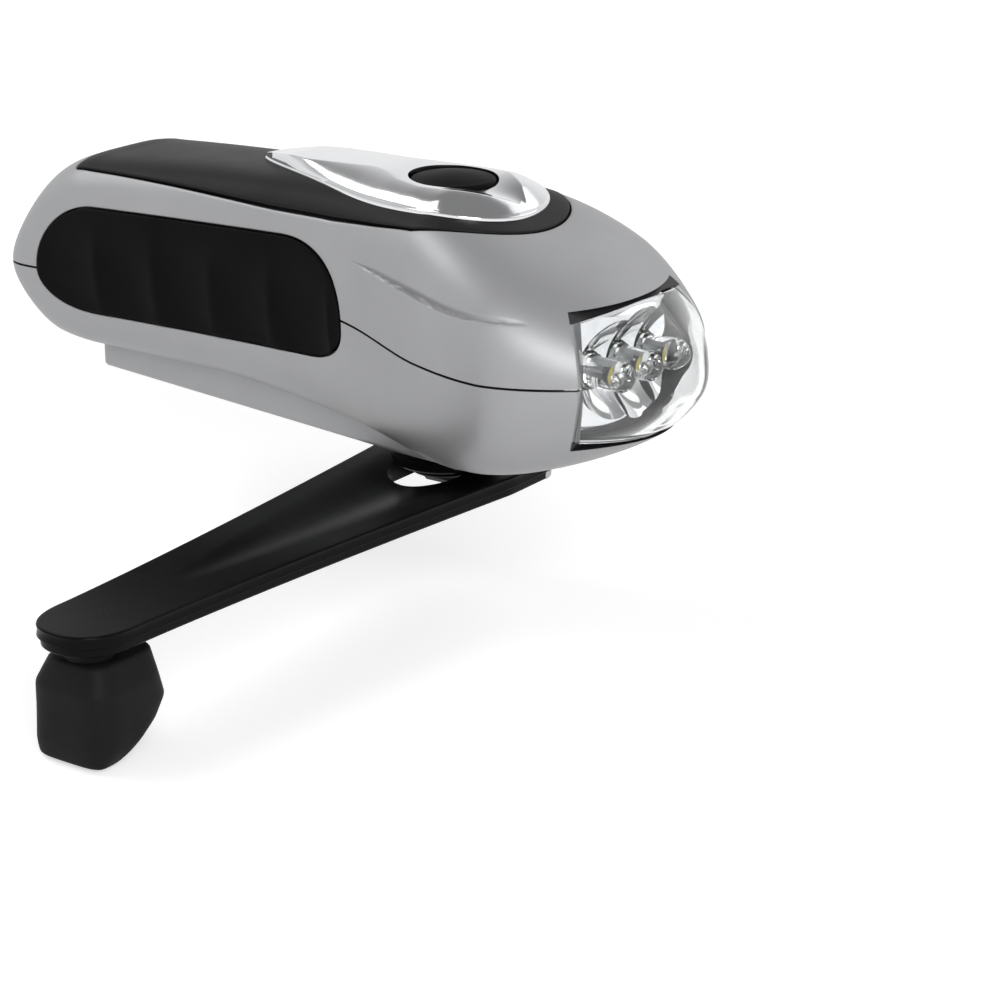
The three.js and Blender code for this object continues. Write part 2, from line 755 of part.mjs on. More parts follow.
function lowerShell() {
  const hollow = housing(wall, hollow_rings, hollow_ring_points);
  const channel = keel(keel_wall);
  const outer = shape.add(keel(0));
  let body = outer.subtract(hollow).subtract(channel);
  const inner = housing(wall / 2, hollow_rings, hollow_ring_points).add(keel(keel_wall / 2));
  const posts = [];
  for (const [x, y] of shell_screws) posts.push(upright(screw_post_radius, x, y, -far, head_top));
  for (const [x, y] of cover_screws) {
    posts.push(upright(small_post_radius, x, y, -far, cover_foot_z - gap, 16));
  }
  posts.push(upright(axle_boss_radius, idler_1_x, 0, -far, axleFoot(1), 16));
  posts.push(upright(axle_boss_radius, idler_2_x, 0, -far, axleFoot(2), 16));
  posts.push(upright(axle_boss_radius, rotor_x, 0, -far, axleFoot(3), 16));
  posts.push(upright(bush_radius + gap + shaft_boss_wall, 0, 0, -far, bush_foot_z + bush_length));
  const opening = box(-battery_x - cell_radius / 2, -battery_x + cell_radius / 2, -rib_spread, rib_spread,
    -far, 0);
  const cell_ring = upright(cell_radius + gap + cradle_wall, -battery_x, 0, -far, -cradle_top_z, 20)
    .subtract(upright(cell_radius + gap, -battery_x, 0, -battery_foot_z - gap, 0, 20))
    .subtract(opening);
  const socket_rib = box(-tail_reach + wall, -tail_reach + wall + socket_setback + socket_length,
    -rib_thickness, rib_thickness, -far, -socket_half_size - gap);
  posts.push(cell_ring, socket_rib);
  posts.push(...boardRibs());
  for (const post of posts) body = body.add(post.intersect(inner));
  for (const [x, y] of shell_screws) {
    body = body.subtract(upright(screw_head_radius + gap, x, y, -far, headSeat(x, y), 20))
      .subtract(upright(screw_radius + gap, x, y, -far, far, 12));
  }
  for (const [x, y] of cover_screws) {
    const end = cover_top_z - small_screw_length - gap;
    body = body.subtract(upright(small_screw_radius + gap / 2, x, y, end, 0, 12));
  }
  for (const [i, x] of [[1, idler_1_x], [2, idler_2_x], [3, rotor_x]]) {
    body = body.subtract(upright(axle_radius + gap, x, 0, axleFoot(i) - axle_seat, 0, 14));
  }
  body = body.subtract(upright(bush_radius + gap, 0, 0, bush_foot_z - gap, 0))
    .subtract(upright(shaft_radius + run, 0, 0, -far, 0));
  return body.subtract(gripCutter()).subtract(lensCutter()).subtract(socketBore()).intersect(lower_half);
}

// Top of the boss under idler 1, idler 2 and the rotor
function axleFoot(step) {
  const under = step === 1 ? drive_top_z - drive_thickness : level[step - 2] + run - gap;
  return under - gap;
}

function lensCutter() {
  const full = sidePrism(lensOutline(0), -far, far).subtract(housing(lens_thickness + gap));
  const sight = sidePrism(lensOutline(rib_thickness), -far, far);
  return full.add(sight);
}

function boardRibs() {
  const x = reflectorFoot() - gap;
  const ribs = [];
  for (const side of [-1, 1]) {
    const y = side * (lamp_board_half_width - rib_spread);
    const rib = box(x - lamp_board_thickness - gap - rib_thickness, x, y - rib_thickness / 2,
      y + rib_thickness / 2, -far, -lamp_board_half_height / 2);
    const slot = box(x - lamp_board_thickness - gap, x + gap + overrun, -far, far,
      -lamp_board_half_height - gap, 0);
    ribs.push(rib.subtract(slot));
  }
  return ribs;
}

function socketBore() {
  return alongX(socket_nose_radius + gap, 0, 0, -tail_reach - overrun, -tail_reach + wall + overrun);
}

// Covers and grips

function topPanel() {
  const sheet = housing(-panel_proud).subtract(housing(panel_thickness));
  return sheet.intersect(extruded(panelOutline(0), panel_low_z, far))
    .subtract(buttonBlank(button_clearance, 0, far));
}

function buttonBlank(grow, from, to) {
  const points = oval(button_half_length + grow, button_half_width + grow, button_power, button_points);
  return extruded(points, from, to).translate([button_x, 0, 0]);
}

function bezel() {
  const rings = bezel_step_shares.map((share, i) => teardrop(share).map(([x, y]) => {
    const rise = bezel_edge_height + (bezel_height - bezel_edge_height) * bezel_rise_shares[i];
    return [x, y, surfaceTop(x, y) + rise];
  }));
  const skirt = teardrop(1).map(([x, y]) => [x, y, surfaceTop(x, y) - overrun]);
  const peak = surfaceTop(button_x, 0);
  const dome = loft([skirt, ...rings], [button_x, 0, peak - overrun], [button_x, 0, peak + bezel_height]);
  return dome.subtract(housing(-panel_proud - gap))
    .subtract(buttonBlank(button_clearance, 0, far));
}

function powerButton() {
  const rings = button_in_shares.map((share, i) => (
    oval(button_half_length * share, button_half_width * share, button_power, button_points)
      .map(([x, y]) => [x + button_x, y, button_edge_z + button_crown * button_up_shares[i]])));
  const foot = buttonFoot();
  rings[0] = rings[0].map(([x, y]) => [x, y, foot]);
  const cap = loft(rings, [button_x, 0, foot], [button_x, 0, button_edge_z + button_crown]);
  const flange = buttonBlank(button_flange, foot, foot + button_flange_thickness);
  const hollow = buttonBlank(-rib_thickness, foot - overrun, button_edge_z - rib_thickness);
  return cap.subtract(hollow).add(flange.subtract(hollow))
    .add(upright(plunger_radius + button_flange / 2, button_x, 0, plungerTop() + gap,
      button_edge_z - rib_thickness / 2));
}

// Low enough for the flange's front end to stay under the sloping roof
function buttonFoot() {
  const flange_front_x = button_x + button_half_length + button_flange;
  return topHeight(flange_front_x, wall) - run - button_flange_thickness - run;
}

function grip(side) {
  const sheet = housing(-grip_proud).subtract(housing(grip_thickness));
  let body = sheet.intersect(sidePrism(gripOutline(0), side > 0 ? 0 : -far, side > 0 ? far : 0));
  const pitch = (grip_rear_x - grip_front_x) / scoop_count;
  const chord = Math.sqrt(1 - (scoop_reach / (scoop_reach + scoop_depth)) ** 2);
  for (let i = 0; i < scoop_count; i += 1) {
    const x = -grip_rear_x + pitch * (i + 0.5);
    const y = side * (halfWidth(x, -grip_proud) + scoop_reach);
    body = body.subtract(ellipsoid(pitch / 2 / chord, scoop_reach + scoop_depth, scoop_half_height / chord,
      x, y, -scoop_z));
  }
  return body;
}

// Lamps

function lensCover() {
  return shape.subtract(housing(lens_thickness)).intersect(sidePrism(lensOutline(gap), -far, far));
}

function reflectorFoot() {
  return reflector_front_x - reflector_depth;
}

function reflector() {
  const half = reflector_half_height;
  const block = box(reflectorFoot(), reflector_front_x, -far, far, -half, half);
  let body = housing(wall + gap, hollow_rings, hollow_ring_points).intersect(block);
  for (const i of [-1, 0, 1]) {
    const sides = bowl_radius_shares.map((share, k) => (
      [bowl_radius * share, bowl_depth * bowl_depth_shares[k]]));
    const bowl = turned([[0, 0], [lamp_radius + gap, 0], ...sides, [bowl_radius, bowl_depth + overrun],
      [0, bowl_depth + overrun]], 20);
    const place = [reflector_front_x - bowl_depth, i * lamp_pitch, 0];
    body = body.subtract(bowl.rotate([0, 90, 0]).translate(place))
      .subtract(alongX(lamp_rim_radius + gap, i * lamp_pitch, 0, reflectorFoot() - overrun,
        reflector_front_x - bowl_depth + gap));
  }
  return body;
}

function lamp(y) {
  const tip = lamp_tip_shares.map((share, k) => (
    [lamp_radius * share, lamp_length - lamp_radius * lamp_tip_back_shares[k]]));
  const body = turned([[0, 0], [lamp_rim_radius, 0], [lamp_rim_radius, lamp_rim_thickness],
    [lamp_radius, lamp_rim_thickness], ...tip, [0, lamp_length]], 16)
    .rotate([0, 90, 0]).translate([reflectorFoot() + lamp_seat, y, 0]);
  const lead = side => alongX(lamp_lead_radius, y + side * lamp_lead_spacing, 0,
    reflectorFoot() - lamp_lead_length, reflectorFoot() + lamp_seat + lamp_rim_thickness / 2, 8);
  return body.add(lead(1)).add(lead(-1));
}

function lampBoard() {
  const x = reflectorFoot() - gap;
  let body = box(x - lamp_board_thickness, x, -lamp_board_half_width, lamp_board_half_width,
    -lamp_board_half_height, lamp_board_half_height);
  for (const i of [-1, 0, 1]) {
    for (const side of [-1, 1]) {
      body = body.subtract(alongX(lamp_lead_radius + gap, i * lamp_pitch + side * lamp_lead_spacing, 0,
        x - lamp_board_thickness - overrun, x + overrun, 8));
    }
  }
  return body;
}

// Board, switch, battery and socket

function circuitBoard() {
  let body = box(-board_rear_x, board_front_x, -board_half_width, board_half_width,
    board_top_z - board_thickness, board_top_z);
  for (const [x, y] of board_screws) {
    body = body.subtract(upright(small_screw_radius + gap, x, y, 0, far, 12));
  }
  return body;
}

function screw(radius, head_radius, head_height, length, x, y, seat, up) {
  const drive = upright(radius * drive_share, 0, 0, -far, -head_height / 2, 6);
  const body = turned([[0, -head_height], [head_radius, -head_height], [head_radius, 0], [radius, 0],
    [radius, length], [0, length]], 10).subtract(drive);
  return (up ? body : body.rotate([180, 0, 0])).translate([x, y, seat]);
}

function switchBody() {
  const foot = board_top_z + gap;
  return box(button_x - switch_half_size, button_x + switch_half_size, -switch_half_size, switch_half_size,
    foot, foot + switch_height)
    .subtract(upright(plunger_radius + gap, button_x, 0, plungerFoot() - button_travel - gap, far, 16));
}

function plungerTop() {
  return board_top_z + gap + switch_height + button_travel + run;
}

function plungerFoot() {
  return board_top_z + gap + switch_height - plunger_engagement;
}

function batteryCell(i) {
  const foot = -battery_foot_z + i * (cell_length + gap);
  return turned([[0, foot], [cell_radius - cell_edge, foot], [cell_radius, foot + cell_edge],
    [cell_radius, foot + cell_length - cell_edge], [cell_radius - cell_edge, foot + cell_length],
    [0, foot + cell_length]], 20).translate([-battery_x, 0, 0]);
}

function chargingSocket() {
  const rear = -tail_reach + wall + socket_setback;
  const wide = socket_half_size;
  return box(rear, rear + socket_length, -wide, wide, -wide, wide)
    .add(alongX(socket_nose_radius, 0, 0, -tail_reach + gap, rear + overrun))
    .subtract(alongX(socket_bore_radius, 0, 0, -tail_reach - overrun, -tail_reach + socket_bore_depth));
}

// Gear train and generator

// Spur wheel with straight-flanked teeth; a tooth points along +X when turned by zero
function toothed(teeth, module, turn, from, to) {
  const pitch_radius = teeth * module / 2;
  const half = Math.PI / teeth / 2;
  const foot = pitch_radius - tooth_foot_share * module;
  const tip = pitch_radius + tooth_tip_share * module;
  const points = [];
  for (let i = 0; i < teeth; i += 1) {
    const centre = 2 * Math.PI * i / teeth + turn;
    for (const [radius, share] of [[foot, -tooth_foot_width_share], [tip, -tooth_tip_width_share],
      [tip, tooth_tip_width_share], [foot, tooth_foot_width_share]]) {
      points.push([radius * Math.cos(centre + share * half), radius * Math.sin(centre + share * half)]);
    }
  }
  return extruded(points, from, to);
}

// Half a pitch turned, so that a gap faces along -X
const gapBehind = teeth => Math.PI + Math.PI / teeth;

function driveGear() {
  const foot = drive_top_z - drive_thickness;
  return toothed(drive_teeth, drive_module, gapBehind(drive_teeth), foot, drive_top_z)
    .add(upright(bush_radius, 0, 0, bush_foot_z + bush_length + gap, foot + gap))
    .subtract(upright(shaft_radius + gap, 0, 0, -far, far));
}

function idler(step, x, wheel_teeth, module, before) {
  const wheel_top = level[step];
  const wheel_foot = wheel_top - wheel_thickness;
  const below = step === 1 ? drive_top_z - drive_thickness : level[step - 1] - wheel_thickness;
  return toothed(wheel_teeth, module, gapBehind(wheel_teeth), wheel_foot, wheel_top)
    .add(toothed(pinion_teeth, before, 0, below, wheel_foot + gap))
    .subtract(upright(axle_radius + gap, 0, 0, -far, far, 16)).translate([x, 0, 0]);
}

function axle(step, x) {
  return upright(axle_radius, x, 0, axleFoot(step) - axle_seat + gap, cover_top_z, 16);
}

function rotorPinion() {
  const foot = level[1] + run;
  return toothed(pinion_teeth, second_module, 0, foot, level[2])
    .add(upright(axle_radius, 0, 0, axleFoot(3) - axle_seat + gap, can_foot_z + can_height, 16))
    .translate([rotor_x, 0, 0]);
}

function gearboxCover() {
  const wide = can_radius + cover_thickness;
  const points = [];
  for (let i = 0; i <= 10; i += 1) {
    const angle = lerp(Math.PI / 2, 3 * Math.PI / 2, i / 10);
    points.push([rotor_x + wide * Math.cos(angle), wide * Math.sin(angle)]);
  }
  const nose = small_post_radius + small_head_radius;
  points.push([idler_1_x, -wide]);
  for (let i = 0; i <= 6; i += 1) {
    const angle = lerp(-Math.PI / 2, Math.PI / 2, i / 6);
    points.push([cover_screws[2][0] + nose * Math.cos(angle), nose * Math.sin(angle)]);
  }
  points.push([idler_1_x, wide]);
  let body = extruded(points, cover_foot_z, cover_top_z);
  for (const [x, y] of cover_screws) {
    body = body.subtract(upright(small_screw_radius + gap, x, y, -far, far, 12));
  }
  for (const x of [idler_1_x, idler_2_x, rotor_x]) {
    body = body.subtract(upright(axle_radius + gap, x, 0, -far, far, 14));
  }
  return body.subtract(upright(shaft_journal_radius + gap, 0, 0, -far, far, 20));
}

function generatorCan() {
  const top = can_foot_z + can_height;
  return turned([[axle_radius + gap, top - can_wall], [can_radius - can_wall, top - can_wall],
    [can_radius - can_wall, can_foot_z], [can_radius, can_foot_z], [can_radius, top],
    [axle_radius + gap, top], [axle_radius + gap, top - can_wall]], 22).translate([rotor_x, 0, 0]);
}

function ring(inner, outer, foot, top, sides = 22) {
  return turned([[inner, foot], [outer, foot], [outer, top], [inner, top], [inner, foot]], sides);
}

function crankShaft() {
  const foot = hub_top_z - shaft_hub_depth + gap;
  return turned([[0, foot], [shaft_radius, foot], [shaft_radius, drive_top_z],
    [shaft_journal_radius, drive_top_z], [shaft_journal_radius, cover_top_z], [0, cover_top_z]], 28);
}

// Crank, made with the arm along +X and turned to its place

const place = body => body.rotate([0, 0, crank_angle]);

function lugSide(front, back) {
  const points = [[front, arm_top_z], [-hinge_offset, arm_top_z]];
  for (let i = 1; i <= 10; i += 1) {
    const angle = Math.PI / 2 + Math.PI * i / 10;
    points.push([-hinge_offset + lug_radius * Math.cos(angle), pin_z + lug_radius * Math.sin(angle)]);
  }
  return [...points, ...back];
}

function crankHub() {
  const half = knuckle_half_width;
  const side = lugSide(knuckle_front, [[knuckle_front - arm_corner / 2, pin_z - lug_radius],
    [knuckle_front, pin_z - lug_radius + arm_corner / 2]]);
  const knuckle = sidePrism(side, -half, half);
  const neck_foot_z = arm_top_z - hub_neck_depth;
  const neck = sidePrism([[-hub_radius + gap, neck_foot_z], [knuckle_front, neck_foot_z],
    [knuckle_front, hub_foot_z + gap], [-hub_radius + gap, hub_foot_z + gap]], -half, half);
  return upright(hub_radius, 0, 0, hub_foot_z, hub_top_z, 36).add(knuckle).add(neck)
    .subtract(upright(shaft_radius + gap, 0, 0, hub_top_z - shaft_hub_depth, far, 28))
    .subtract(alongY(pin_radius + gap, -hinge_offset, pin_z, -far, far, 16));
}

function armOutline(inset) {
  const rear = -hinge_offset - lug_radius + inset;
  const wide = arm_hub_half_width - inset;
  const half = [[rear, wide - arm_corner], [rear + arm_corner, wide]];
  for (let i = 0; i <= arm_steps; i += 1) {
    const t = i / arm_steps;
    const y = lerp(arm_end_half_width, arm_hub_half_width, (1 - t) ** arm_taper_power) - inset;
    half.push([arm_narrow_s * t, y]);
  }
  const [long, wide_end] = [arm_narrow_length - inset, arm_end_half_width - inset];
  for (let i = 1; i < arm_tip_steps; i += 1) {
    const angle = Math.PI / 2 * (1 - i / arm_tip_steps);
    half.push([arm_narrow_s + long * Math.cos(angle) ** (2 / arm_tip_power),
      wide_end * Math.sin(angle) ** (2 / arm_tip_power)]);
  }
  return [...half, [arm_reach - inset, 0], ...half.map(([x, y]) => [x, -y]).reverse()].reverse();
}

function crankArm() {
  const step_z = arm_top_z - arm_upper_thickness;
  const upper = extruded(armOutline(0), step_z, arm_top_z);
  const lower = extruded(armOutline(arm_lip), arm_foot_z, step_z + gap);
  const lugs = sidePrism(lugSide(slot_end_s, [[slot_end_s / 2, arm_foot_z - arm_corner / 2],
    [slot_end_s, arm_foot_z + gap]]), -arm_hub_half_width + arm_lip, arm_hub_half_width - arm_lip);
  const trim = lugSide(arm_reach + overrun, [[slot_end_s / 2, -far], [arm_reach + overrun, -far]]);
  const slot = box(-far, slot_end_s - slot_half_width, -slot_half_width, slot_half_width, -far, far)
    .add(upright(slot_half_width, slot_end_s - slot_half_width, 0, -far, far, 28));
  return upper.add(lower).intersect(sidePrism(trim, -far, far)).add(lugs.intersect(
    extruded(armOutline(arm_lip), -far, arm_foot_z + gap)))
    .subtract(ellipsoid(valley_half_length, valley_half_width, valley_depth, valley_s, 0, arm_top_z))
    .subtract(slot)
    .subtract(alongY(pin_radius + gap, -hinge_offset, pin_z, -far, far, 16))
    .subtract(upright(spindle_radius + gap, knob_s, 0, -far, arm_top_z - arm_lip - gap, 20));
}

function hingePin() {
  const half = arm_hub_half_width - arm_lip - gap;
  return alongY(pin_radius, -hinge_offset, pin_z, -half, half, 16);
}

function knobSpindle() {
  const foot = knob_foot_z + spindle_head_lift;
  const head = foot + spindle_head_height;
  return turned([[0, foot], [spindle_head_radius, foot], [spindle_head_radius, head - gap],
    [spindle_radius, head - gap], [spindle_radius, arm_top_z - spindle_cap],
    [0, arm_top_z - spindle_cap]], 24).translate([knob_s, 0, 0]);
}

function crankKnob() {
  const hub_sides = knob_hub_shares.map(share => share * knob_hub_side);
  const far_sides = knob_far_shares.map(share => share * knob_far_side);
  const middle = i => knob_s + (far_sides[i] - hub_sides[i]) / 2;
  const rings = knob_down_shares.map((down, i) => (
    oval((far_sides[i] + hub_sides[i]) / 2, knob_half_width * knob_width_shares[i], knob_power,
      knob_ring_points).map(([x, y]) => [middle(i) + x, y, knob_top_z - down * knob_height]))).reverse();
  const foot = knob_foot_z + spindle_head_lift;
  const body = loft(rings, [middle(rings.length - 1), 0, knob_foot_z], [middle(0), 0, knob_top_z]);
  return body.add(upright(neck_radius, knob_s, 0, knob_top_z - neck_height, arm_foot_z - gap))
    .subtract(upright(spindle_radius + gap, knob_s, 0, foot, far, 20))
    .subtract(upright(spindle_head_radius + gap, knob_s, 0, foot - gap, foot + spindle_head_height, 24));
}

// The assembly

add('upper_shell', upperShell(), silver);
add('lower_shell', lowerShell(), silver);
add('top_panel', topPanel(), soft_black);
add('button_bezel', bezel(), chrome);
add('left_grip', grip(1), grip_black);
add('right_grip', grip(-1), grip_black);
add('lens_cover', lensCover(), clear);
add('reflector', reflector(), chrome);
for (const i of [-1, 0, 1]) add(`lamp_${i + 2}`, lamp(i * lamp_pitch), lamp_clear);
add('lamp_board', lampBoard(), board_green);
add('circuit_board', circuitBoard(), board_green);
add('switch_body', switchBody(), dark_plastic);
board_screws.forEach(([x, y], i) => add(`board_screw_${i + 1}`,
  screw(small_screw_radius - gap / 2, small_head_radius, small_head_height, board_screw_length,
    x, y, board_top_z - board_thickness - gap, true), steel));
for (let i = 0; i < cell_count; i += 1) add(`battery_cell_${i + 1}`, batteryCell(i), steel);
add('charging_socket', chargingSocket(), dark_plastic);
add('gearbox_cover', gearboxCover(), acetal);
add('idler_axle_1', axle(1, idler_1_x), steel);
add('idler_axle_2', axle(2, idler_2_x), steel);
add('generator_can', generatorCan(), steel);
add('generator_coil', ring(coil_inner_radius, can_radius - can_wall - gap, can_foot_z + gap,
  can_foot_z + can_height - can_wall - gap).translate([rotor_x, 0, 0]), copper);
add('shaft_bush', ring(shaft_radius + gap, bush_radius, bush_foot_z, bush_foot_z + bush_length), brass);
shell_screws.forEach(([x, y], i) => add(`shell_screw_${i + 1}`,
  screw(screw_radius - gap / 2, screw_head_radius, screw_head_height, screw_length, x, y,
    headSeat(x, y) - gap, true), steel));
cover_screws.forEach(([x, y], i) => add(`cover_screw_${i + 1}`,
  screw(small_screw_radius - gap / 2, small_head_radius, small_head_height, small_screw_length, x, y,
    cover_top_z + gap, false), steel));
add('crank_hub', place(crankHub()), crank_black);
add('crank_shaft', place(crankShaft()), steel);
add('drive_gear', driveGear(), acetal);
add('shaft_clip', ring(shaft_journal_radius + gap, clip_radius, drive_top_z + gap,
  drive_top_z + gap + can_wall, 24), steel);
add('idler_gear_1', idler(1, idler_1_x, first_wheel_teeth, first_module, drive_module), acetal);
add('idler_gear_2', idler(2, idler_2_x, second_wheel_teeth, second_module, first_module), acetal);
add('rotor_pinion', rotorPinion(), brass);
add('rotor_magnet', ring(axle_radius + gap, coil_inner_radius - magnet_clearance, can_foot_z + magnet_clearance,
  can_foot_z + magnet_clearance + magnet_height).translate([rotor_x, 0, 0]), ferrite);
add('crank_arm', place(crankArm()), crank_black);
add('hinge_pin', place(hingePin()), steel);
add('knob_spindle', place(knobSpindle()), steel);
add('crank_knob', place(crankKnob()), knob_black);
add('power_button', powerButton(), soft_black);
add('switch_plunger', upright(plunger_radius, button_x, 0, plungerFoot(), plungerTop(), 16), dark_plastic);

// Moved so that the foot of the bounding box, at its middle, is the origin
const bounds = new THREE.Box3().setFromObject(part);
const middle = bounds.getCenter(new THREE.Vector3());
for (const piece of part.children) piece.geometry.translate(-middle.x, -middle.y, -bounds.min.z);

export default part;
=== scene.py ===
"""A hand crank flashlight in silver, black and chrome, with its crank swung out to the side.

Sizes are in millimetres, in the maker's frame: the crank shaft's axis is x = y = 0, the housing
halves meet at z = 0, +x points out of the lens and +z is up. Meshes are moved into the frame at the end.
"""
import bpy
import bmesh
import json
import math
import numpy as np
from contextlib import contextmanager
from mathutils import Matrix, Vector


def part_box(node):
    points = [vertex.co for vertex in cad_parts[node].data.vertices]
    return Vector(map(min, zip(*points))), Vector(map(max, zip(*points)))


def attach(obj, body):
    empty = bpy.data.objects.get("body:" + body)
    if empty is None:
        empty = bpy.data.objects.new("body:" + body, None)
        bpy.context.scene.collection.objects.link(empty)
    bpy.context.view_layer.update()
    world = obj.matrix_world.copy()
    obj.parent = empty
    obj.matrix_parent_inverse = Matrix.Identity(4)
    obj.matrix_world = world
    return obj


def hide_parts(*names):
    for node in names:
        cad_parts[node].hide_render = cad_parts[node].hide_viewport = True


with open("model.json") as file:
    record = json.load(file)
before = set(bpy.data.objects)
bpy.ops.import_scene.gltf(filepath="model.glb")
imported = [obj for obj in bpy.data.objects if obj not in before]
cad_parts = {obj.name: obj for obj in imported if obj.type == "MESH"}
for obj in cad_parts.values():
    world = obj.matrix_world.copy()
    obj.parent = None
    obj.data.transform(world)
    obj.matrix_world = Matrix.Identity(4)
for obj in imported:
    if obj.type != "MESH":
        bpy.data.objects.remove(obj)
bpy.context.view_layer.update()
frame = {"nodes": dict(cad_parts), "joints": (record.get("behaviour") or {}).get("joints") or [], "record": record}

MM = 0.001
GAP = 0.3  # left between pieces that touch
CUT = 60  # reach of a cutting tool, past everything but the tail

crank = next(j for j in frame["joints"] if j["name"] == "crank_spin")
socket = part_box("charging_socket")
ORIGIN = np.array([crank["pos_m"][0], crank["pos_m"][1], (socket[0][2] + socket[1][2]) / 2]) / MM

# Housing, as in the solids

TAIL, NOSE = 88.9, 52.0  # from the crank's axis to each end
PLAN_REAR, PLAN_FRONT = -77.6, 26.7  # where the plan starts to round into the ends
TOP_REAR, TOP_FRONT = -69.5, 7.6  # where the top does
FOOT_REAR, FOOT_FRONT = -78.0, 12.0  # where the underside does
WAIST_X, WAIST = -20.0, 15.7  # the handle's narrowest place, and half its width there
HEAD_START = -14.0  # where the handle starts to widen into the head
TAIL_FLARE, HEAD_FLARE = 2.35, 9.62  # what half the width gains at the tail and in the head
CREST_X, CREST, TAIL_TOP = 5.0, 22.9, 20.0  # highest place of the top, its height, and the tail's
HANDLE_DEPTH, HEAD_DROP = 14.9, 5.4  # depth under the handle, and how much deeper the head goes
TOP_SQUARE, FOOT_SQUARE, END_SQUARE = 4.3, 3.8, 1.85  # squareness of the section's three parts
SEAM_RISE = 2.3  # of the seam along the handle
WALL = 2.4
NOSE_WALL = 1.0  # behind the edge of the clear nose
LAMP_PITCH = 7.7
BUTTON_X = 2.4
CRANK_ANGLE = math.radians(-87.4)


def rounded(t, power):
    """A superellipse's height at t: (1 - t^power)^(1/power), 1 for t below 0 and 0 past 1."""
    t = np.clip(t, 0, 1)
    return np.maximum(1 - t ** power, 0) ** (1 / power)


def reach_at(c, s, power):
    """A superellipse's distance from its middle, towards the cosine c and sine s of an angle."""
    return (np.abs(c) ** power + np.abs(s) ** power) ** (-1 / power)


def smooth(x, low, high):
    """Goes from 0 to 1 between low and high as 3t^2 - 2t^3."""
    t = np.clip((x - low) / (high - low), 0, 1)
    return t * t * (3 - 2 * t)


def places(*axes):
    """Points from their coordinates, each an array or a number."""
    return np.stack(np.broadcast_arrays(*axes), axis=-1)


def chain(*parts):
    """Arrays end to end."""
    return np.concatenate(parts)


def ends(x, rear, rear_power, front, front_power):
    """Falls from 1 to 0 as two superellipses, from rear to the tail's end and from front to the nose's."""
    behind = rounded((rear - x) / (TAIL + rear), rear_power)
    return behind * rounded((x - front) / (NOSE - front), front_power)


def half_width(x, inset=0.0):
    """Half the housing's width at x, drawn in by inset: a waisted handle that flares to the head."""
    rear = np.maximum(WAIST_X - x, 0) / (WAIST_X - PLAN_REAR)
    plain = WAIST + TAIL_FLARE * rear ** 2 + HEAD_FLARE * smooth(x, HEAD_START, PLAN_FRONT)
    return (plain - inset) * ends(x, PLAN_REAR, 4, PLAN_FRONT, 1.55)


def top_height(x, inset=0.0):
    """Height of the top over the seam at x."""
    along = np.clip((x - TOP_REAR) / (CREST_X - TOP_REAR), 0, 1)
    plain = CREST + (TAIL_TOP - CREST) * (1 - along) ** 2.3
    return (plain - inset) * ends(x, TOP_REAR, 2.0, TOP_FRONT, 1.41)


def depth_below(x, inset=0.0):
    """Depth of the underside below the seam at x."""
    plain = HANDLE_DEPTH + HEAD_DROP * smooth(x, -42, 14)
    return (plain - inset) * ends(x, FOOT_REAR, 1.9, FOOT_FRONT, 1.9)


def section_power(x, z):
    """Squareness of the cross-section at x over or under the seam, easing to both ends."""
    full = np.where(z >= 0, TOP_SQUARE, FOOT_SQUARE)
    ease = np.maximum(smooth(-x, -TOP_REAR, TAIL), smooth(x, np.where(z >= 0, 4.7, 16.0), NOSE))
    return full + (END_SQUARE - full) * ease


def quarter(count):
    """Angles from 0 to 90 degrees."""
    return np.linspace(0, np.pi / 2, count)


def full_turn(count):
    return np.linspace(0, 2 * np.pi, count, endpoint=False)


def housing_surface(inset, rows, count, bunched=0.0):
    """Grid of points round the housing, and its two ends: at each x, a superellipse
    r(a) = (|cos a|^n + |sin a|^n)^(-1/n) stretched to the half-width and to the height or the depth. The
    columns may be bunched 30 degrees over the seam, where the swoosh is."""
    at_ends = rows // 3
    turn = quarter(at_ends + 1)[1:]
    tail = TOP_REAR - (TAIL + TOP_REAR) * np.cos(turn)
    middle = np.linspace(TOP_REAR, TOP_FRONT, rows - 2 * at_ends + 1)[1:]
    nose = TOP_FRONT + (NOSE - TOP_FRONT) * np.sin(turn[:-1])
    x = chain(tail, middle, nose)[:, None]
    even = np.linspace(0, 2 * np.pi, 2001)
    weight = 1 + bunched * sum(np.exp(-((even - math.radians(a)) / 0.2) ** 2) for a in (30, 150))
    share = chain([0], np.cumsum(weight[1:] + weight[:-1]))
    angle = np.interp(np.arange(count) / count, share / share[-1], even)[None, :]
    c, s = np.cos(angle), np.sin(angle)
    power = section_power(x, s)
    reach = reach_at(c, s, power)
    tall = np.where(s >= 0, top_height(x, inset), depth_below(x, inset))
    squeezed = np.where(x < 0, x * (1 - inset / TAIL), x * (1 - inset / NOSE))
    points = places(squeezed, half_width(x, inset) * c * reach, tall * s * reach)
    return points, (inset - TAIL, 0, 0), (NOSE - inset, 0, 0)


def fullness(p, inset=0.0):
    """Below 1 inside the housing and 1 on its skin: |y / half-width|^n + |z / height|^n."""
    x, y, z = p[..., 0], p[..., 1], p[..., 2]
    power = section_power(x, z)
    tall = np.maximum(np.where(z >= 0, top_height(x, inset), depth_below(x, inset)), 1e-6)
    wide = np.maximum(half_width(x, inset), 1e-6)
    return (np.abs(y) / wide) ** power + (np.abs(z) / tall) ** power


def skin_normal(p):
    """Outward direction of the housing's skin near p, by central differences of its fullness."""
    step = 0.05
    parts = [fullness(p + step * axis) - fullness(p - step * axis) for axis in np.eye(3)]
    normal = np.stack(parts, axis=-1)
    return normal / (np.linalg.norm(normal, axis=-1, keepdims=True) + 1e-12)


def on_top(x, y):
    """The skin's point over (x, y)."""
    z = top_height(x) * rounded(np.abs(y) / half_width(x), section_power(x, 1.0))
    return places(x, y, z)


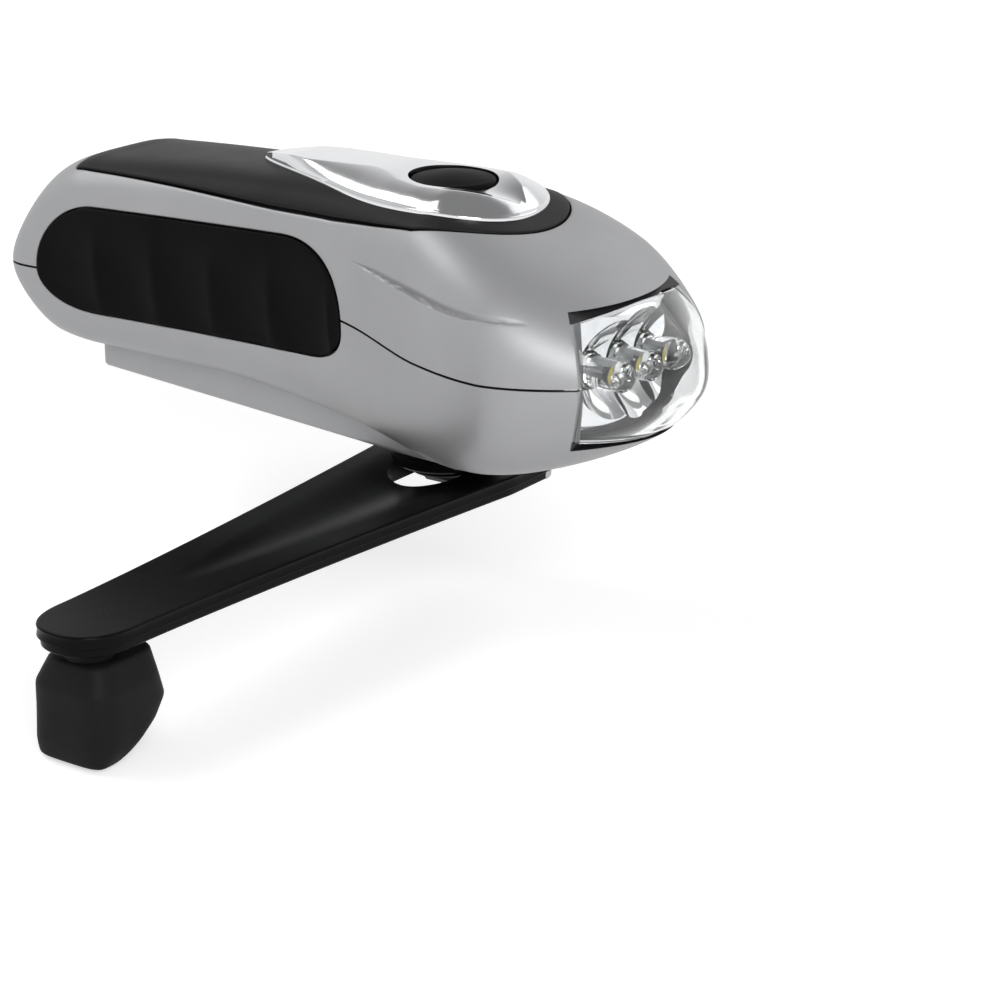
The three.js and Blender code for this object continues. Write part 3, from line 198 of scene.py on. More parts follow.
def on_side(x, z, side):
    """The skin's point beside (x, z), on the side given by the sign of side."""
    tall = np.where(z >= 0, top_height(x), depth_below(x))
    y = side * half_width(x) * rounded(np.abs(z) / tall, section_power(x, z))
    return places(x, y, z)


# Making meshes

def in_scene(name, data):
    """A new object in the scene that shows a mesh, a camera or a lamp."""
    made = bpy.data.objects.new(name, data)
    bpy.context.scene.collection.objects.link(made)
    return made


def new_piece(name, vertices, faces):
    mesh = bpy.data.meshes.new(name)
    mesh.from_pydata(np.asarray(vertices).tolist(), [], faces)
    return in_scene(name, mesh)


@contextmanager
def reworked(mesh):
    """Opens a mesh for editing and writes it back."""
    work = bmesh.new()
    work.from_mesh(mesh)
    yield work
    work.to_mesh(mesh)
    work.free()


def outward(piece):
    """Merges a closed mesh's doubled points and turns its faces outwards."""
    with reworked(piece.data) as work:
        bmesh.ops.remove_doubles(work, verts=work.verts, dist=1e-5)
        bmesh.ops.recalc_face_normals(work, faces=work.faces)
        if work.calc_volume(signed=True) < 0:
            bmesh.ops.reverse_faces(work, faces=work.faces)
    return piece


def grid_faces(rows, count):
    """Faces between neighbouring rows of a grid that is round in its columns."""
    k = np.arange(count)
    base = np.arange(rows - 1)[:, None] * count
    above, after = base + count, np.roll(k, -1)
    return places(base + k, base + after, above + after, above + k).reshape(-1, 4).tolist()


def grid_solid(name, points, first, last):
    """A closed skin over points[row, column], round in its columns, with the points first and last at
    its ends."""
    rows, count = points.shape[:2]
    k, end = np.arange(count), np.full(count, rows * count)
    after, base = np.roll(k, -1), (rows - 1) * count
    faces = grid_faces(rows, count) + places(end, after, k).tolist()
    faces += places(end + 1, base + k, base + after).tolist()
    return outward(new_piece(name, chain(points.reshape(-1, 3), [first], [last]), faces))


def sheet_solid(name, points):
    """A closed skin over points[row, column] whose first and last rows each fold onto themselves."""
    piece = new_piece(name, points.reshape(-1, 3), grid_faces(*points.shape[:2]))
    with reworked(piece.data) as work:
        bmesh.ops.remove_doubles(work, verts=work.verts, dist=1e-4)
        bmesh.ops.dissolve_degenerate(work, dist=1e-6, edges=work.edges)
    return outward(piece)


def block(name, low, high):
    """A closed box, for cutting and for small straight parts."""
    x, y, z = np.meshgrid(*zip(low, high), indexing="ij")
    vertices = places(x, y, z).reshape(-1, 3)
    faces = [(0, 1, 3, 2), (4, 6, 7, 5), (0, 4, 5, 1), (2, 3, 7, 6), (0, 2, 6, 4), (1, 5, 7, 3)]
    return outward(new_piece(name, vertices, faces))


def prism(name, outline, low, high, along='z'):
    """An outline pushed from low to high along z, or along y where its points are (x, z)."""
    outline = np.asarray(outline, float)
    count = len(outline)
    column = 2 if along == 'z' else 1
    vertices = np.concatenate([np.insert(outline, column, level, axis=1) for level in (low, high)])
    caps = [tuple(range(count))[::-1], tuple(range(count, 2 * count))]
    piece = new_piece(name, vertices, grid_faces(2, count) + caps)
    with reworked(piece.data) as work:
        bmesh.ops.triangulate(work, faces=[f for f in work.faces if len(f.verts) > 4])
    return outward(piece)


def turned(name, profile, count, centre=(0, 0, 0), axis='z'):
    """A profile of (radius, height) points turned once round an axis through centre, from pole to pole."""
    profile = np.asarray(profile, float)
    angle = full_turn(count)
    r, h = profile[1:-1, :1], profile[1:-1, 1:]
    points = places(r * np.cos(angle), r * np.sin(angle), h)
    poles = np.array([[0, 0, profile[0, 1]], [0, 0, profile[-1, 1]]])
    order = {'z': (0, 1, 2), 'x': (2, 0, 1), 'y': (1, 2, 0)}[axis]
    return grid_solid(name, points[..., order] + centre, *(poles[..., order] + centre))


def rod(name, radius, low, high, centre=(0, 0, 0), axis='z', count=48):
    return turned(name, [(0, low), (radius, low), (radius, high), (0, high)], count, centre, axis)


def housing_solid(name, inset, rows, count):
    return grid_solid(name, *housing_surface(inset, rows, count))


def joined(piece, others, how):
    """Joins the closed pieces, cuts them out or keeps what they share with piece, and drops them."""
    for other in others:
        step = piece.modifiers.new("step", 'BOOLEAN')
        step.solver = 'MANIFOLD'
        step.operation = how
        step.object = other
        graph = bpy.context.evaluated_depsgraph_get()
        mesh = bpy.data.meshes.new_from_object(piece.evaluated_get(graph))
        piece.modifiers.clear()
        piece.data = mesh
        bpy.data.objects.remove(other)
    return piece


def cut(piece, *others):
    return joined(piece, others, 'DIFFERENCE')


def keep(piece, *others):
    return joined(piece, others, 'INTERSECT')


def weld(piece, *others):
    return joined(piece, others, 'UNION')


def read(items, label):
    """A vector of every vertex or face of a mesh, as rows."""
    values = np.empty(len(items) * 3, dtype=np.float32)
    items.foreach_get(label, values)
    return values.reshape(-1, 3)


def move(mesh, points):
    mesh.vertices.foreach_set("co", points.astype(np.float32).ravel())


def bare_and_shade_faces(mesh):
    """Which faces of a shell take the near-black dark plastic: those deep in the wall and those cut across it,
    apart from the swoosh's return and the sides of the lens opening, which are painted silver. The inside
    is bare plastic, and its near-black tone is also painted shade in the gaps round the lens and between
    the parts."""
    middles, facing = read(mesh.polygons, "center").astype(float), read(mesh.polygons, "normal")
    out = (facing * skin_normal(middles)).sum(axis=1)
    x, z = middles[:, 0], middles[:, 2]
    nose = x > 35
    beside_lens = nose & (np.abs(z) < 9.4) & (out > -0.5)
    across = (out < np.where(nose, 0.9, 0.4)) & (fullness(middles, 0.02) < 1)
    swoosh = (np.abs(x - 13) < 21) & (z > 8.5) & (z < 15)
    return ((fullness(middles, 1.0) < 1) | (across & ~swoosh)) & ~beside_lens


def finish(piece, body, nodes, slot, material=None, sharp=35, inside=None):
    """Moves a finished mesh into the frame, shades it smooth up to its sharp edges, gives it its slot's
    finish or one of its own, and lets it ride. A shell's bare inner and cut faces may have a finish of
    theirs: near-black, which paints the shade in the shell's gaps."""
    mesh = piece.data
    # the shell's inner and cut faces go near-black: bare plastic, and painted shade in its gaps
    bare_and_shade = bare_and_shade_faces(mesh) if inside else None
    move(mesh, (read(mesh.vertices, "co") + ORIGIN) * MM)
    mesh.polygons.foreach_set("use_smooth", np.ones(len(mesh.polygons), dtype=bool))
    limit = math.radians(sharp)
    with reworked(mesh) as work:
        for edge in work.edges:
            edge.smooth = len(edge.link_faces) == 2 and edge.calc_face_angle() < limit
    mesh.materials.clear()
    mesh.materials.append(material or FINISH[slot])
    if inside:
        mesh.materials.append(inside)
        mesh.polygons.foreach_set("material_index", bare_and_shade.astype(np.int32))
    mesh.update()
    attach(piece, body)
    if nodes:
        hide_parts(*nodes)


# Materials

def feed(tree, inputs, values):
    """Sets each named input to a number or a colour, or links it to another socket."""
    for label, value in values.items():
        if isinstance(value, bpy.types.NodeSocket):
            tree.links.new(value, inputs[label])
        else:
            inputs[label].default_value = value


def node(tree, kind, values=None, **settings):
    """A new shader node's outputs, after its settings are made and its inputs are fed."""
    made = tree.nodes.new('ShaderNode' + kind)
    for label, value in settings.items():
        setattr(made, label, value)
    feed(tree, made.inputs, values or {})
    return made.outputs


def number(tree, operation, *values):
    """The result of a Math node over sockets and numbers."""
    return node(tree, 'Math', dict(enumerate(values)), operation=operation)['Value']


def mixed(tree, factor, one, other):
    """A mix of two colours."""
    return node(tree, 'Mix', {'Factor': factor, 'A': one, 'B': other}, data_type='RGBA')['Result']


def noise(tree, vector, scale, detail):
    """A noise texture read at vector, its scale a socket or a number."""
    values = {'Vector': vector, 'Scale': scale, 'Detail': detail, 'Roughness': 0.6}
    return node(tree, 'TexNoise', values)['Fac']


def spread(tree, value, low, high):
    """Maps 0.3 to 0.7 of a noise onto low to high, each a socket or a number."""
    values = {'Value': value, 'From Min': 0.3, 'From Max': 0.7, 'To Min': low, 'To Max': high}
    return node(tree, 'MapRange', values)['Result']


def moulded_skin():
    """The skin of a moulded or painted piece as a node group: a fine grain for the bump, a slow cloud
    that shifts the colour between two tones, and a roughness that wanders with both."""
    group = bpy.data.node_groups.new("moulded skin", 'ShaderNodeTree')
    colour, value = 'NodeSocketColor', 'NodeSocketFloat'
    for label, kind, usual in (
            ("Tone", colour, (0.5, 0.5, 0.5, 1)), ("Other Tone", colour, (0.4, 0.4, 0.4, 1)),
            ("Grain Scale", value, 3000.0), ("Cloud Scale", value, 60.0),
            ("Smoothest", value, 0.3), ("Roughest", value, 0.4)):
        group.interface.new_socket(label, in_out='INPUT', socket_type=kind).default_value = usual
    for label, kind in (("Color", colour), ("Roughness", value), ("Height", value)):
        group.interface.new_socket(label, in_out='OUTPUT', socket_type=kind)
    given, out = group.nodes.new('NodeGroupInput').outputs, group.nodes.new('NodeGroupOutput').inputs
    where = node(group, 'TexCoord')['Object']
    grain = noise(group, where, given['Grain Scale'], 2.0)
    cloud = noise(group, where, given['Cloud Scale'], 4.0)
    both = number(group, 'MULTIPLY_ADD', grain, 0.5, number(group, 'MULTIPLY', cloud, 0.5))
    feed(group, out, {
        'Color': mixed(group, spread(group, cloud, 0.0, 1.0), given['Tone'], given['Other Tone']),
        'Roughness': spread(group, both, given['Smoothest'], given['Roughest']),
        'Height': grain})
    return group


SKIN = moulded_skin()


def new_material(name):
    """A material, its node tree and its shader's inputs."""
    material = bpy.data.materials.new(name)
    material.use_nodes = True
    return material, material.node_tree, material.node_tree.nodes['Principled BSDF'].inputs


def skin_material(name, tone, other, grain, cloud, smoothest, roughest, bump, metallic=0.0, coat=0.0,
                  specular=0.5, depth=0.00002):
    """A moulded, painted or plated finish made from the skin group."""
    material, tree, shader = new_material(name)
    skin = node(tree, 'Group', {
        'Tone': (*tone, 1), 'Other Tone': (*other, 1), 'Grain Scale': grain, 'Cloud Scale': cloud,
        'Smoothest': smoothest, 'Roughest': roughest}, node_tree=SKIN)
    relief = node(tree, 'Bump', {'Strength': bump, 'Distance': depth, 'Height': skin['Height']})
    feed(tree, shader, {
        'Metallic': metallic, 'Coat Weight': coat, 'Coat Roughness': 0.12, 'Specular IOR Level': specular,
        'Base Color': skin['Color'], 'Roughness': skin['Roughness'], 'Normal': relief['Normal']})
    return material


def clear_material(name, tint, ior, grain, bump):
    """Clear moulded plastic: it bends light as its index says, with a very slight ripple."""
    material, tree, shader = new_material(name)
    ripple = noise(tree, node(tree, 'TexCoord')['Object'], grain, 2.0)
    lighter = (*(min(1.0, t * 1.01) for t in tint), 1)
    relief = node(tree, 'Bump', {'Strength': bump, 'Distance': 0.00003, 'Height': ripple})
    feed(tree, shader, {
        'Transmission Weight': 1.0, 'IOR': ior, 'Base Color': mixed(tree, ripple, (*tint, 1), lighter),
        'Roughness': spread(tree, ripple, 0.015, 0.04), 'Normal': relief['Normal']})
    return material


FINISH = {  # by material slot
    "silver_plastic": skin_material("satin silver paint", (0.375, 0.377, 0.385), (0.35, 0.352, 0.36),
        9000, 40, 0.42, 0.52, 0.16, metallic=0.50),
    "soft_black": skin_material("soft-touch black", (0.010, 0.010, 0.0105), (0.008, 0.008, 0.0085),
        5200, 50, 0.42, 0.54, 0.25, specular=0.15),
    "grip_rubber": skin_material("grip rubber", (0.0045, 0.0045, 0.0048), (0.003, 0.003, 0.0032),
        4200, 70, 0.46, 0.60, 0.35, specular=0.05),
    "crank_plastic": skin_material("crank plastic", (0.004, 0.004, 0.0045), (0.003, 0.003, 0.0035),
        6000, 60, 0.26, 0.34, 0.10, specular=0.06),
    "knob_rubber": skin_material("knob rubber", (0.008, 0.008, 0.0085), (0.006, 0.006, 0.0065),
        3600, 80, 0.52, 0.68, 0.55, specular=0.12, depth=0.00004),
    "chrome": skin_material("bright chrome", (0.74, 0.745, 0.755), (0.71, 0.715, 0.73),
        2500, 30, 0.10, 0.14, 0.01, metallic=1.0),
    "steel": skin_material("plain steel", (0.42, 0.43, 0.44), (0.36, 0.37, 0.38),
        5000, 120, 0.26, 0.40, 0.10, metallic=1.0),
    "brass": skin_material("turned brass", (0.60, 0.42, 0.17), (0.52, 0.36, 0.15),
        5000, 120, 0.24, 0.36, 0.08, metallic=1.0),
    "acetal": skin_material("natural gear plastic", (0.66, 0.64, 0.58), (0.62, 0.60, 0.54),
        5000, 90, 0.42, 0.55, 0.10),
    "board": skin_material("green board", (0.02, 0.14, 0.05), (0.015, 0.11, 0.04),
        4000, 200, 0.30, 0.45, 0.12, coat=0.3),
    # dark_plastic also covers the shells' inner and cut faces, where its near-black is painted shade in the gaps
    # round the lens and between the parts
    "dark_plastic": skin_material("dark plastic", (0.02, 0.02, 0.022), (0.015, 0.015, 0.017),
        5000, 90, 0.40, 0.52, 0.15),
    "copper": skin_material("winding wire", (0.50, 0.20, 0.09), (0.42, 0.16, 0.07),
        3000, 300, 0.25, 0.40, 0.40, metallic=1.0),
    "ferrite": skin_material("ferrite", (0.045, 0.045, 0.05), (0.035, 0.035, 0.04),
        4000, 200, 0.55, 0.70, 0.30),
    "clear_plastic": clear_material("clear nose", (0.97, 0.98, 0.985), 1.46, 180, 0.08),
    "lamp_clear": clear_material("lamp epoxy", (0.97, 0.97, 0.95), 1.52, 300, 0.02),
}
MIRROR = skin_material("reflector plating", (0.84, 0.845, 0.855), (0.80, 0.805, 0.82),
    2500, 50, 0.03, 0.08, 0.015, metallic=1.0)
PHOSPHOR = skin_material("yellow phosphor", (0.78, 0.66, 0.16), (0.70, 0.58, 0.12),
    4000, 300, 0.45, 0.60, 0.15)


def finish_solids():
    """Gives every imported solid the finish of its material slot."""
    slots = {entry["node"]: entry["material_slot"] for entry in frame["record"]["subparts"]}
    for name, solid in frame["nodes"].items():
        solid.data.materials.clear()
        solid.data.materials.append(FINISH[slots[name]])


finish_solids()


# Outlines and plates

PANEL_REAR, PANEL_WIDE_X, PANEL_FRONT = -72.0, 7.0, 22.0  # rear corner, widest place and front
PANEL_HALF, PANEL_REAR_HALF, PANEL_CORNER = 16.6, 13.0, 1.2
BEZEL_REAR, BEZEL_WIDE_X, BEZEL_FRONT = -39.4, 6.0, 18.4  # the teardrop's ends and widest place
BEZEL_HALF = 13.5
GRIP_REAR, GRIP_FRONT = -78.7, -9.3
GRIP_TURN = -65.6  # where a grip starts to round into its rear end
LENS_TOP, LENS_FOOT, LENS_SIDE_X = 11.0, 11.2, 41.3  # the opening's reach, up, down and back
POCKET_EDGE = 0.3  # rounding of a pocket's edge


def seam_height(x):
    """Height of the seam between the halves: level at both ends and raised along the handle."""
    return SEAM_RISE * smooth(x, -80, -50) * (1 - smooth(x, HEAD_START, 12))


def eased(at, values, x, span):
    """Reads a line through (at, values) at x, its corners eased over a span on each side."""
    fine = np.linspace(at[0], at[-1], 600)
    half = max(1, round(span / (fine[1] - fine[0])))
    blur = np.hanning(2 * half + 3)[1:-1]
    line = np.interp(fine, at, values)
    padded = chain(np.full(half, line[0]), line, np.full(half, line[-1]))
    return np.interp(x, fine, np.convolve(padded, blur / blur.sum(), 'valid'))


def mirrored(upper):
    """A closed outline from its upper half, whose two ends lie on the axis."""
    return chain(upper, (upper[1:-1] * [1, -1])[::-1])


def corner(x, y, radius, count):
    """A quarter round about (x, y), from straight over it round to behind it."""
    turn = quarter(count)[1:]
    return places(x - radius * np.sin(turn), y + radius * np.cos(turn))


def spaced(low, high, count):
    """Places from high to low as a cosine, closest together at the two ends."""
    return (low + high) / 2 + (high - low) / 2 * np.cos(np.linspace(0, np.pi, count))


def panel_border():
    """The black panel's outline: a half ellipse in front, a waist, and a blunt, slightly bowed rear."""
    angle = quarter(40)
    reach = PANEL_FRONT - PANEL_WIDE_X
    front = places(PANEL_WIDE_X + reach * np.cos(angle), PANEL_HALF * np.sin(angle))
    x = np.linspace(PANEL_WIDE_X, PANEL_REAR, 80)[1:]
    at = [PANEL_REAR, -26, -14, -10, -6, 6, PANEL_WIDE_X]
    half = [PANEL_REAR_HALF, 13.7, 13.7, 13.85, 14.3, 16.4, PANEL_HALF]
    side = places(x, eased(at, half, x, 3))
    flat = PANEL_REAR_HALF - PANEL_CORNER
    end = corner(PANEL_REAR, flat, PANEL_CORNER, 7)
    y = np.linspace(flat, 0, 8)[1:]
    rear = places(PANEL_REAR - PANEL_CORNER - 0.6 * (1 - (y / flat) ** 2), y)
    return mirrored(chain(front, side, end, rear))


def teardrop_width(x):
    """Half the bezel's width: a superellipse ahead of its widest place and (1 - t^1.4)^0.78 behind it."""
    ahead = rounded((x - BEZEL_WIDE_X) / (BEZEL_FRONT - BEZEL_WIDE_X), 2.15)
    t = np.clip((BEZEL_WIDE_X - x) / (BEZEL_WIDE_X - BEZEL_REAR), 0, 1)
    behind = np.maximum(1 - t ** 1.4, 0) ** 0.78
    return BEZEL_HALF * np.where(x > BEZEL_WIDE_X, ahead, behind)


def bezel_border():
    x = spaced(BEZEL_REAR, BEZEL_FRONT, 120)
    upper = places(x, teardrop_width(x))
    upper[0, 1] = upper[-1, 1] = 0
    return mirrored(upper)


def grip_border():
    """A grip's outline in x and z: a long shape with rounded ends, fuller in front than behind."""
    x = spaced(GRIP_REAR, GRIP_FRONT, 110)
    share = (x - GRIP_REAR) / (GRIP_FRONT - GRIP_REAR)
    behind = rounded((GRIP_TURN - x) / (GRIP_TURN - GRIP_REAR), 2.0)
    top = (12 + 2.8 * share) * behind * rounded((x - GRIP_FRONT + 14) / 14, 2.3)
    low = (6.6 - 1.5 * share) * behind * rounded((x - GRIP_FRONT + 7) / 7, 2.2)
    return chain(places(x, top), places(x, -low)[1:-1][::-1])


def lens_bow(z):
    """How far the sides of the lens opening swing back to its corners, over and under the seam."""
    return np.where(z > 0, 4.8, 3.1)


def lens_border():
    """The clear nose's outline in x and z: bowed sides, level top and bottom."""
    grow = 0.05
    z = np.linspace(-LENS_FOOT - grow, LENS_TOP + grow, 24)
    away = np.where(z > 0, z / LENS_TOP, z / LENS_FOOT)
    x = LENS_SIDE_X - lens_bow(z) * away ** 2 - grow
    return chain(places(x, z), [(CUT, LENS_TOP + grow), (CUT, -LENS_FOOT - grow)])


def rim(bottom, top, radius):
    """A plate's edge as (distance inwards, height): up from the bottom and over a quarter round."""
    r = radius
    return [(0.0, bottom)] + [(r - r * np.cos(a), top - r + r * np.sin(a)) for a in quarter(6)]


def recess(depth):
    """The edge of a recess for a plate: a gap wider than the plate, flaring over a quarter round."""
    r = POCKET_EDGE
    lip = [(-GAP - r + r * np.cos(a), -r + r * np.sin(a)) for a in quarter(5)]
    return [(-GAP, -depth - GAP)] + lip + [(-GAP - r, 3.0)]


def plate(name, border, place, edge, fill=20, middle=0.0):
    """A closed plate over an outline of (u, v) points, where point k and point -k share their u. Its
    edge is a list of (distance inwards, height). Inside the edge, rings shrink evenly to the spine
    v = middle, and place(u, v, h) gives each point's place in space."""
    border = np.asarray(border, float)
    along = np.roll(border, -1, axis=0) - np.roll(border, 1, axis=0)
    inward = places(-along[:, 1], along[:, 0])
    inward /= np.linalg.norm(inward, axis=1, keepdims=True)
    area = np.sum(border[:, 0] * np.roll(border[:, 1], -1) - np.roll(border[:, 0], -1) * border[:, 1])
    inward *= np.sign(area)
    centre = (border[:, 0].max() + border[:, 0].min()) / 2
    spine = places(centre + 0.8 * (border[:, 0] - centre), middle)
    rings = [border + inward * d for d, h in edge]
    heights = [h for d, h in edge]
    first, last = rings[0], rings[-1]
    under = [spine + (first - spine) * share for share in np.linspace(0, 1, 7)[:-1]]
    over = [spine + (last - spine) * share for share in np.linspace(1, 0, fill + 1)[1:]]
    flat = np.stack(under + rings + over)
    height = np.array([heights[0]] * len(under) + heights + [heights[-1]] * len(over))[:, None]
    return sheet_solid(name, place(flat[..., 0], flat[..., 1], height + 0 * flat[..., 0]))


def over_top(x, y, h):
    """A point at height h over the housing's top."""
    skin = on_top(x, y)
    return skin + h[..., None] * skin_normal(skin)


# Housing halves

SEAM_GAP = 0.4
PANEL_DEPTH, GRIP_DEPTH = 1.2, 1.3  # how deep the plates sit in their pockets
KEEL_REAR, KEEL_FRONT, KEEL_HALF, KEEL_CORNER = -72.5, 16.5, 9.1, 1.2
KEEL_SHALLOW, KEEL_FALL = 19.2, 3.0  # depth at the keel's rear, and how much deeper it gets to x = 6
LENS_SIGHT = 9.6  # half the height that is open all through
SCREW_PLACES = ((-56.7, 0), (19, 16.4), (19, -16.4))


def half_tool(name, side):
    """Everything over the seam (side 1) or under it (side -1), half the seam's gap away."""
    x = chain([-130], np.linspace(-80, 12, 93), [130])
    line = list(zip(x, seam_height(x) + side * SEAM_GAP / 2))
    return prism(name, line + [(130, side * CUT), (-130, side * CUT)], -CUT, CUT, 'y')


def creased(points):
    """Presses a swoosh into the head's sides. Over a line that falls towards the nose the skin dips in
    by 0.85 sin(pi t)^0.7 across a band 1.6 sin(pi t)^0.8 mm tall, and under the line it is back at once."""
    x, y, z = points[..., 0], points[..., 1], points[..., 2]
    arch = np.sin(np.pi * np.clip((x + 7) / 40, 0, 1))
    line = eased([-8, 4, 13, 19, 24.5, 34], [12.9, 11.6, 11.0, 10.4, 10.2, 10.1], x, 3)
    over = (z - line) / (1.6 * arch ** 0.8 + 0.05)
    depth = 0.85 * arch ** 0.7 * (1 - smooth(over, 0, 1)) * smooth(z - line, -0.22, 0.02) * (np.abs(y) > 9)
    return points - depth[..., None] * skin_normal(points)


def keel_depth(x):
    return KEEL_SHALLOW + KEEL_FALL * np.clip((x - KEEL_REAR) / (6 - KEEL_REAR), 0, 1)


def keel_solid(name, inset, edge_radius):
    """The keel: a plan with a square rear and a rounded front, sunk to its depth at each x."""
    turn = quarter(24)
    c, s = np.cos(turn), np.sin(turn)
    reach = reach_at(c, s, 2.4)
    start, half, rear_x = -3.1, KEEL_HALF - inset, KEEL_REAR + inset
    front = places(start + (KEEL_FRONT - start - inset) * c * reach, half * s * reach)
    side = places(np.linspace(start, rear_x + KEEL_CORNER, 60)[1:], half)
    end = places(rear_x + KEEL_CORNER - KEEL_CORNER * s[::4], half - KEEL_CORNER + KEEL_CORNER * c[::4])[1:]
    rear = places(rear_x, np.linspace(half - KEEL_CORNER, 0, 8)[1:])

    def place(x, y, h):
        bottom = -keel_depth(x) + inset + 1.6 * np.clip((x - 6) / 10.5, 0, 1) ** 2
        return places(x, y, np.where(h < -3, 0.0, bottom - h))

    return plate(name, mirrored(chain(front, side, end, rear)), place, rim(-4, 0, edge_radius), fill=8)


def lens_opening():
    """The nose's opening: open all through near the seam, and only 1.65 mm deep past that, so that a lip
    stays behind the gaps over and under the clear cover."""
    sight = prism("nose_sight", lens_border(), -CUT, CUT, 'y')
    keep(sight, block("reach", (0, -CUT, -LENS_SIGHT), (CUT, CUT, LENS_SIGHT)))
    rebate = prism("nose_rebate", lens_border(), -CUT, CUT, 'y')
    return sight, cut(rebate, housing_solid("lip", 1.65, 120, 144))


def pockets():
    """What both halves lose to the grips and the clear nose, with the wall thinned beside the opening."""
    grips = [grip_plate("grip_pocket", side, recess(GRIP_DEPTH), scooped=False) for side in (-1, 1)]
    thin = keep(block("nose_room", (31.5, -40, -9.5), (CUT, 40, 9.5)),
                housing_solid("thin_wall", NOSE_WALL, 90, 120))
    return [*grips, thin, *lens_opening()]


def socket_hole():
    return rod("socket_hole", 3.1, -95, -80, axis='x')


def upper_shell():
    """The upper half: a moulded skin with a swoosh on each side, pockets for the panel, the grips and
    the clear nose, and holes for the button and the socket."""
    points, first, last = housing_surface(0, 300, 320, 2.0)
    shell = grid_solid("upper_shell_skin", creased(points), first, last)
    cut(shell, housing_solid("hollow", WALL, 90, 96))
    keep(shell, half_tool("above_seam", 1))
    cut(shell, plate("panel_pocket", panel_border(), over_top, recess(PANEL_DEPTH)))
    cut(shell, *pockets(), button_hole(), socket_hole())
    # inner and cut faces near-black: painted shade in the gaps round the lens and between the parts
    finish(shell, "housing", ["upper_shell"], "silver_plastic", inside=FINISH["dark_plastic"])


def lower_shell():
    """The lower half with its keel, screw wells, the slot under the tail and the crank shaft's hole."""
    shell = housing_solid("lower_shell_skin", 0, 260, 288)
    weld(shell, keel_solid("keel", 0, 0.9))
    cut(shell, housing_solid("hollow", WALL, 90, 96), keel_solid("keel_hollow", 1.9, 0.3))
    angle = full_turn(48)
    weld(shell, prism("shaft_boss", 7 * places(np.cos(angle), np.sin(angle)), -22.1, -16))
    keep(shell, half_tool("below_seam", -1))
    cut(shell, *pockets(), rod("shaft_hole", 3.5, -40, 0), socket_hole())
    cut(shell, *(rod("screw_well", 2.5, -40, -11, (x, y, 0)) for x, y in SCREW_PLACES))
    cut(shell, block("latch_slot", (-77.6, -4.5, -16.5), (-75.8, 4.5, -11.9)))
    # inner and cut faces near-black: painted shade in the gaps round the lens and between the parts
    finish(shell, "housing", ["lower_shell"], "silver_plastic", inside=FINISH["dark_plastic"])


# Panel, bezel, button and grips

BUTTON_ALONG, BUTTON_ACROSS = 7.25, 7.0  # half sizes
BUTTON_GAP = 0.4
BUTTON_TOP, BUTTON_FOOT = 25.1, 18.35  # height of its rim, and of its underside
BUTTON_EDGE, BUTTON_CROWN = 0.6, 0.75
EDGE_HEIGHT = 0.8  # of the chrome's edge over the skin


def button_outline(grow):
    """The button's outline, grown by a gap."""
    angle = full_turn(96)
    along, across = (BUTTON_ALONG + grow) * np.cos(angle), (BUTTON_ACROSS + grow) * np.sin(angle)
    return places(BUTTON_X + along, across)


def button_hole():
    return prism("button_hole", button_outline(BUTTON_GAP), 8.0, 40.0)


def top_panel():
    """The black panel, a thin plate let into the top."""
    piece = plate("top_panel_skin", panel_border(), over_top, rim(-PANEL_DEPTH, 0.15, 0.3), fill=16)
    cut(piece, button_hole())
    finish(piece, "housing", ["top_panel"], "soft_black")


def bezel_height(x, y):
    """Height of the chrome over the skin. A flat top, whose edge is a crease, comes in to a waist
    behind the button and widens to a rim round it, dished in front of the button. Outside the crease it
    falls to its edge as 0.55 (1 - (1 - q)^2.2) + 0.45 q, with q from 0 at the edge to 1 at the crease."""
    at = [BEZEL_REAR, -36, -30, -25, -17, -11, -8, -4, 2, 8, 13, 16.4, 17.4, BEZEL_FRONT]
    flat = [0.4, 1.9, 4.2, 5.2, 4.8, 4.2, 5.0, 7.3, 8.8, 8.0, 4.6, 1.4, 0.8, 0.6]
    tall = [1.3, 2.0, 2.7, 2.75, 2.9, 3.0, 2.9, 2.6, 2.45, 2.5, 2.5, 1.9, 1.5, 1.0]
    dish = [0] * 8 + [0.1, 0.8, 0.9, 0.2, 0, 0]
    wide = teardrop_width(np.clip(x, BEZEL_REAR, BEZEL_FRONT))
    crease = np.minimum(eased(at, flat, x, 1.5), wide * 0.9)
    q = np.clip((wide - np.abs(y)) / np.maximum(wide - crease, 0.4), 0, 1)
    rise = 0.55 * (1 - (1 - q) ** 2.2) + 0.45 * q
    hollow = eased(at, dish, x, 1.5) * np.clip(1 - (y / np.maximum(crease, 0.4)) ** 2, 0, 1)
    return EDGE_HEIGHT + (eased(at, tall, x, 1.5) - EDGE_HEIGHT) * rise - hollow


def button_bezel():
    """The chrome teardrop round the button."""
    def place(x, y, h):
        lift = np.where(h > EDGE_HEIGHT - 0.01, bezel_height(x, y), h)
        return on_top(x, y) + places(0, 0, lift)

    piece = plate("button_bezel_skin", bezel_border(), place, rim(0.2, EDGE_HEIGHT, 0.35), fill=60)
    cut(piece, button_hole())
    finish(piece, "housing", ["button_bezel"], "chrome")


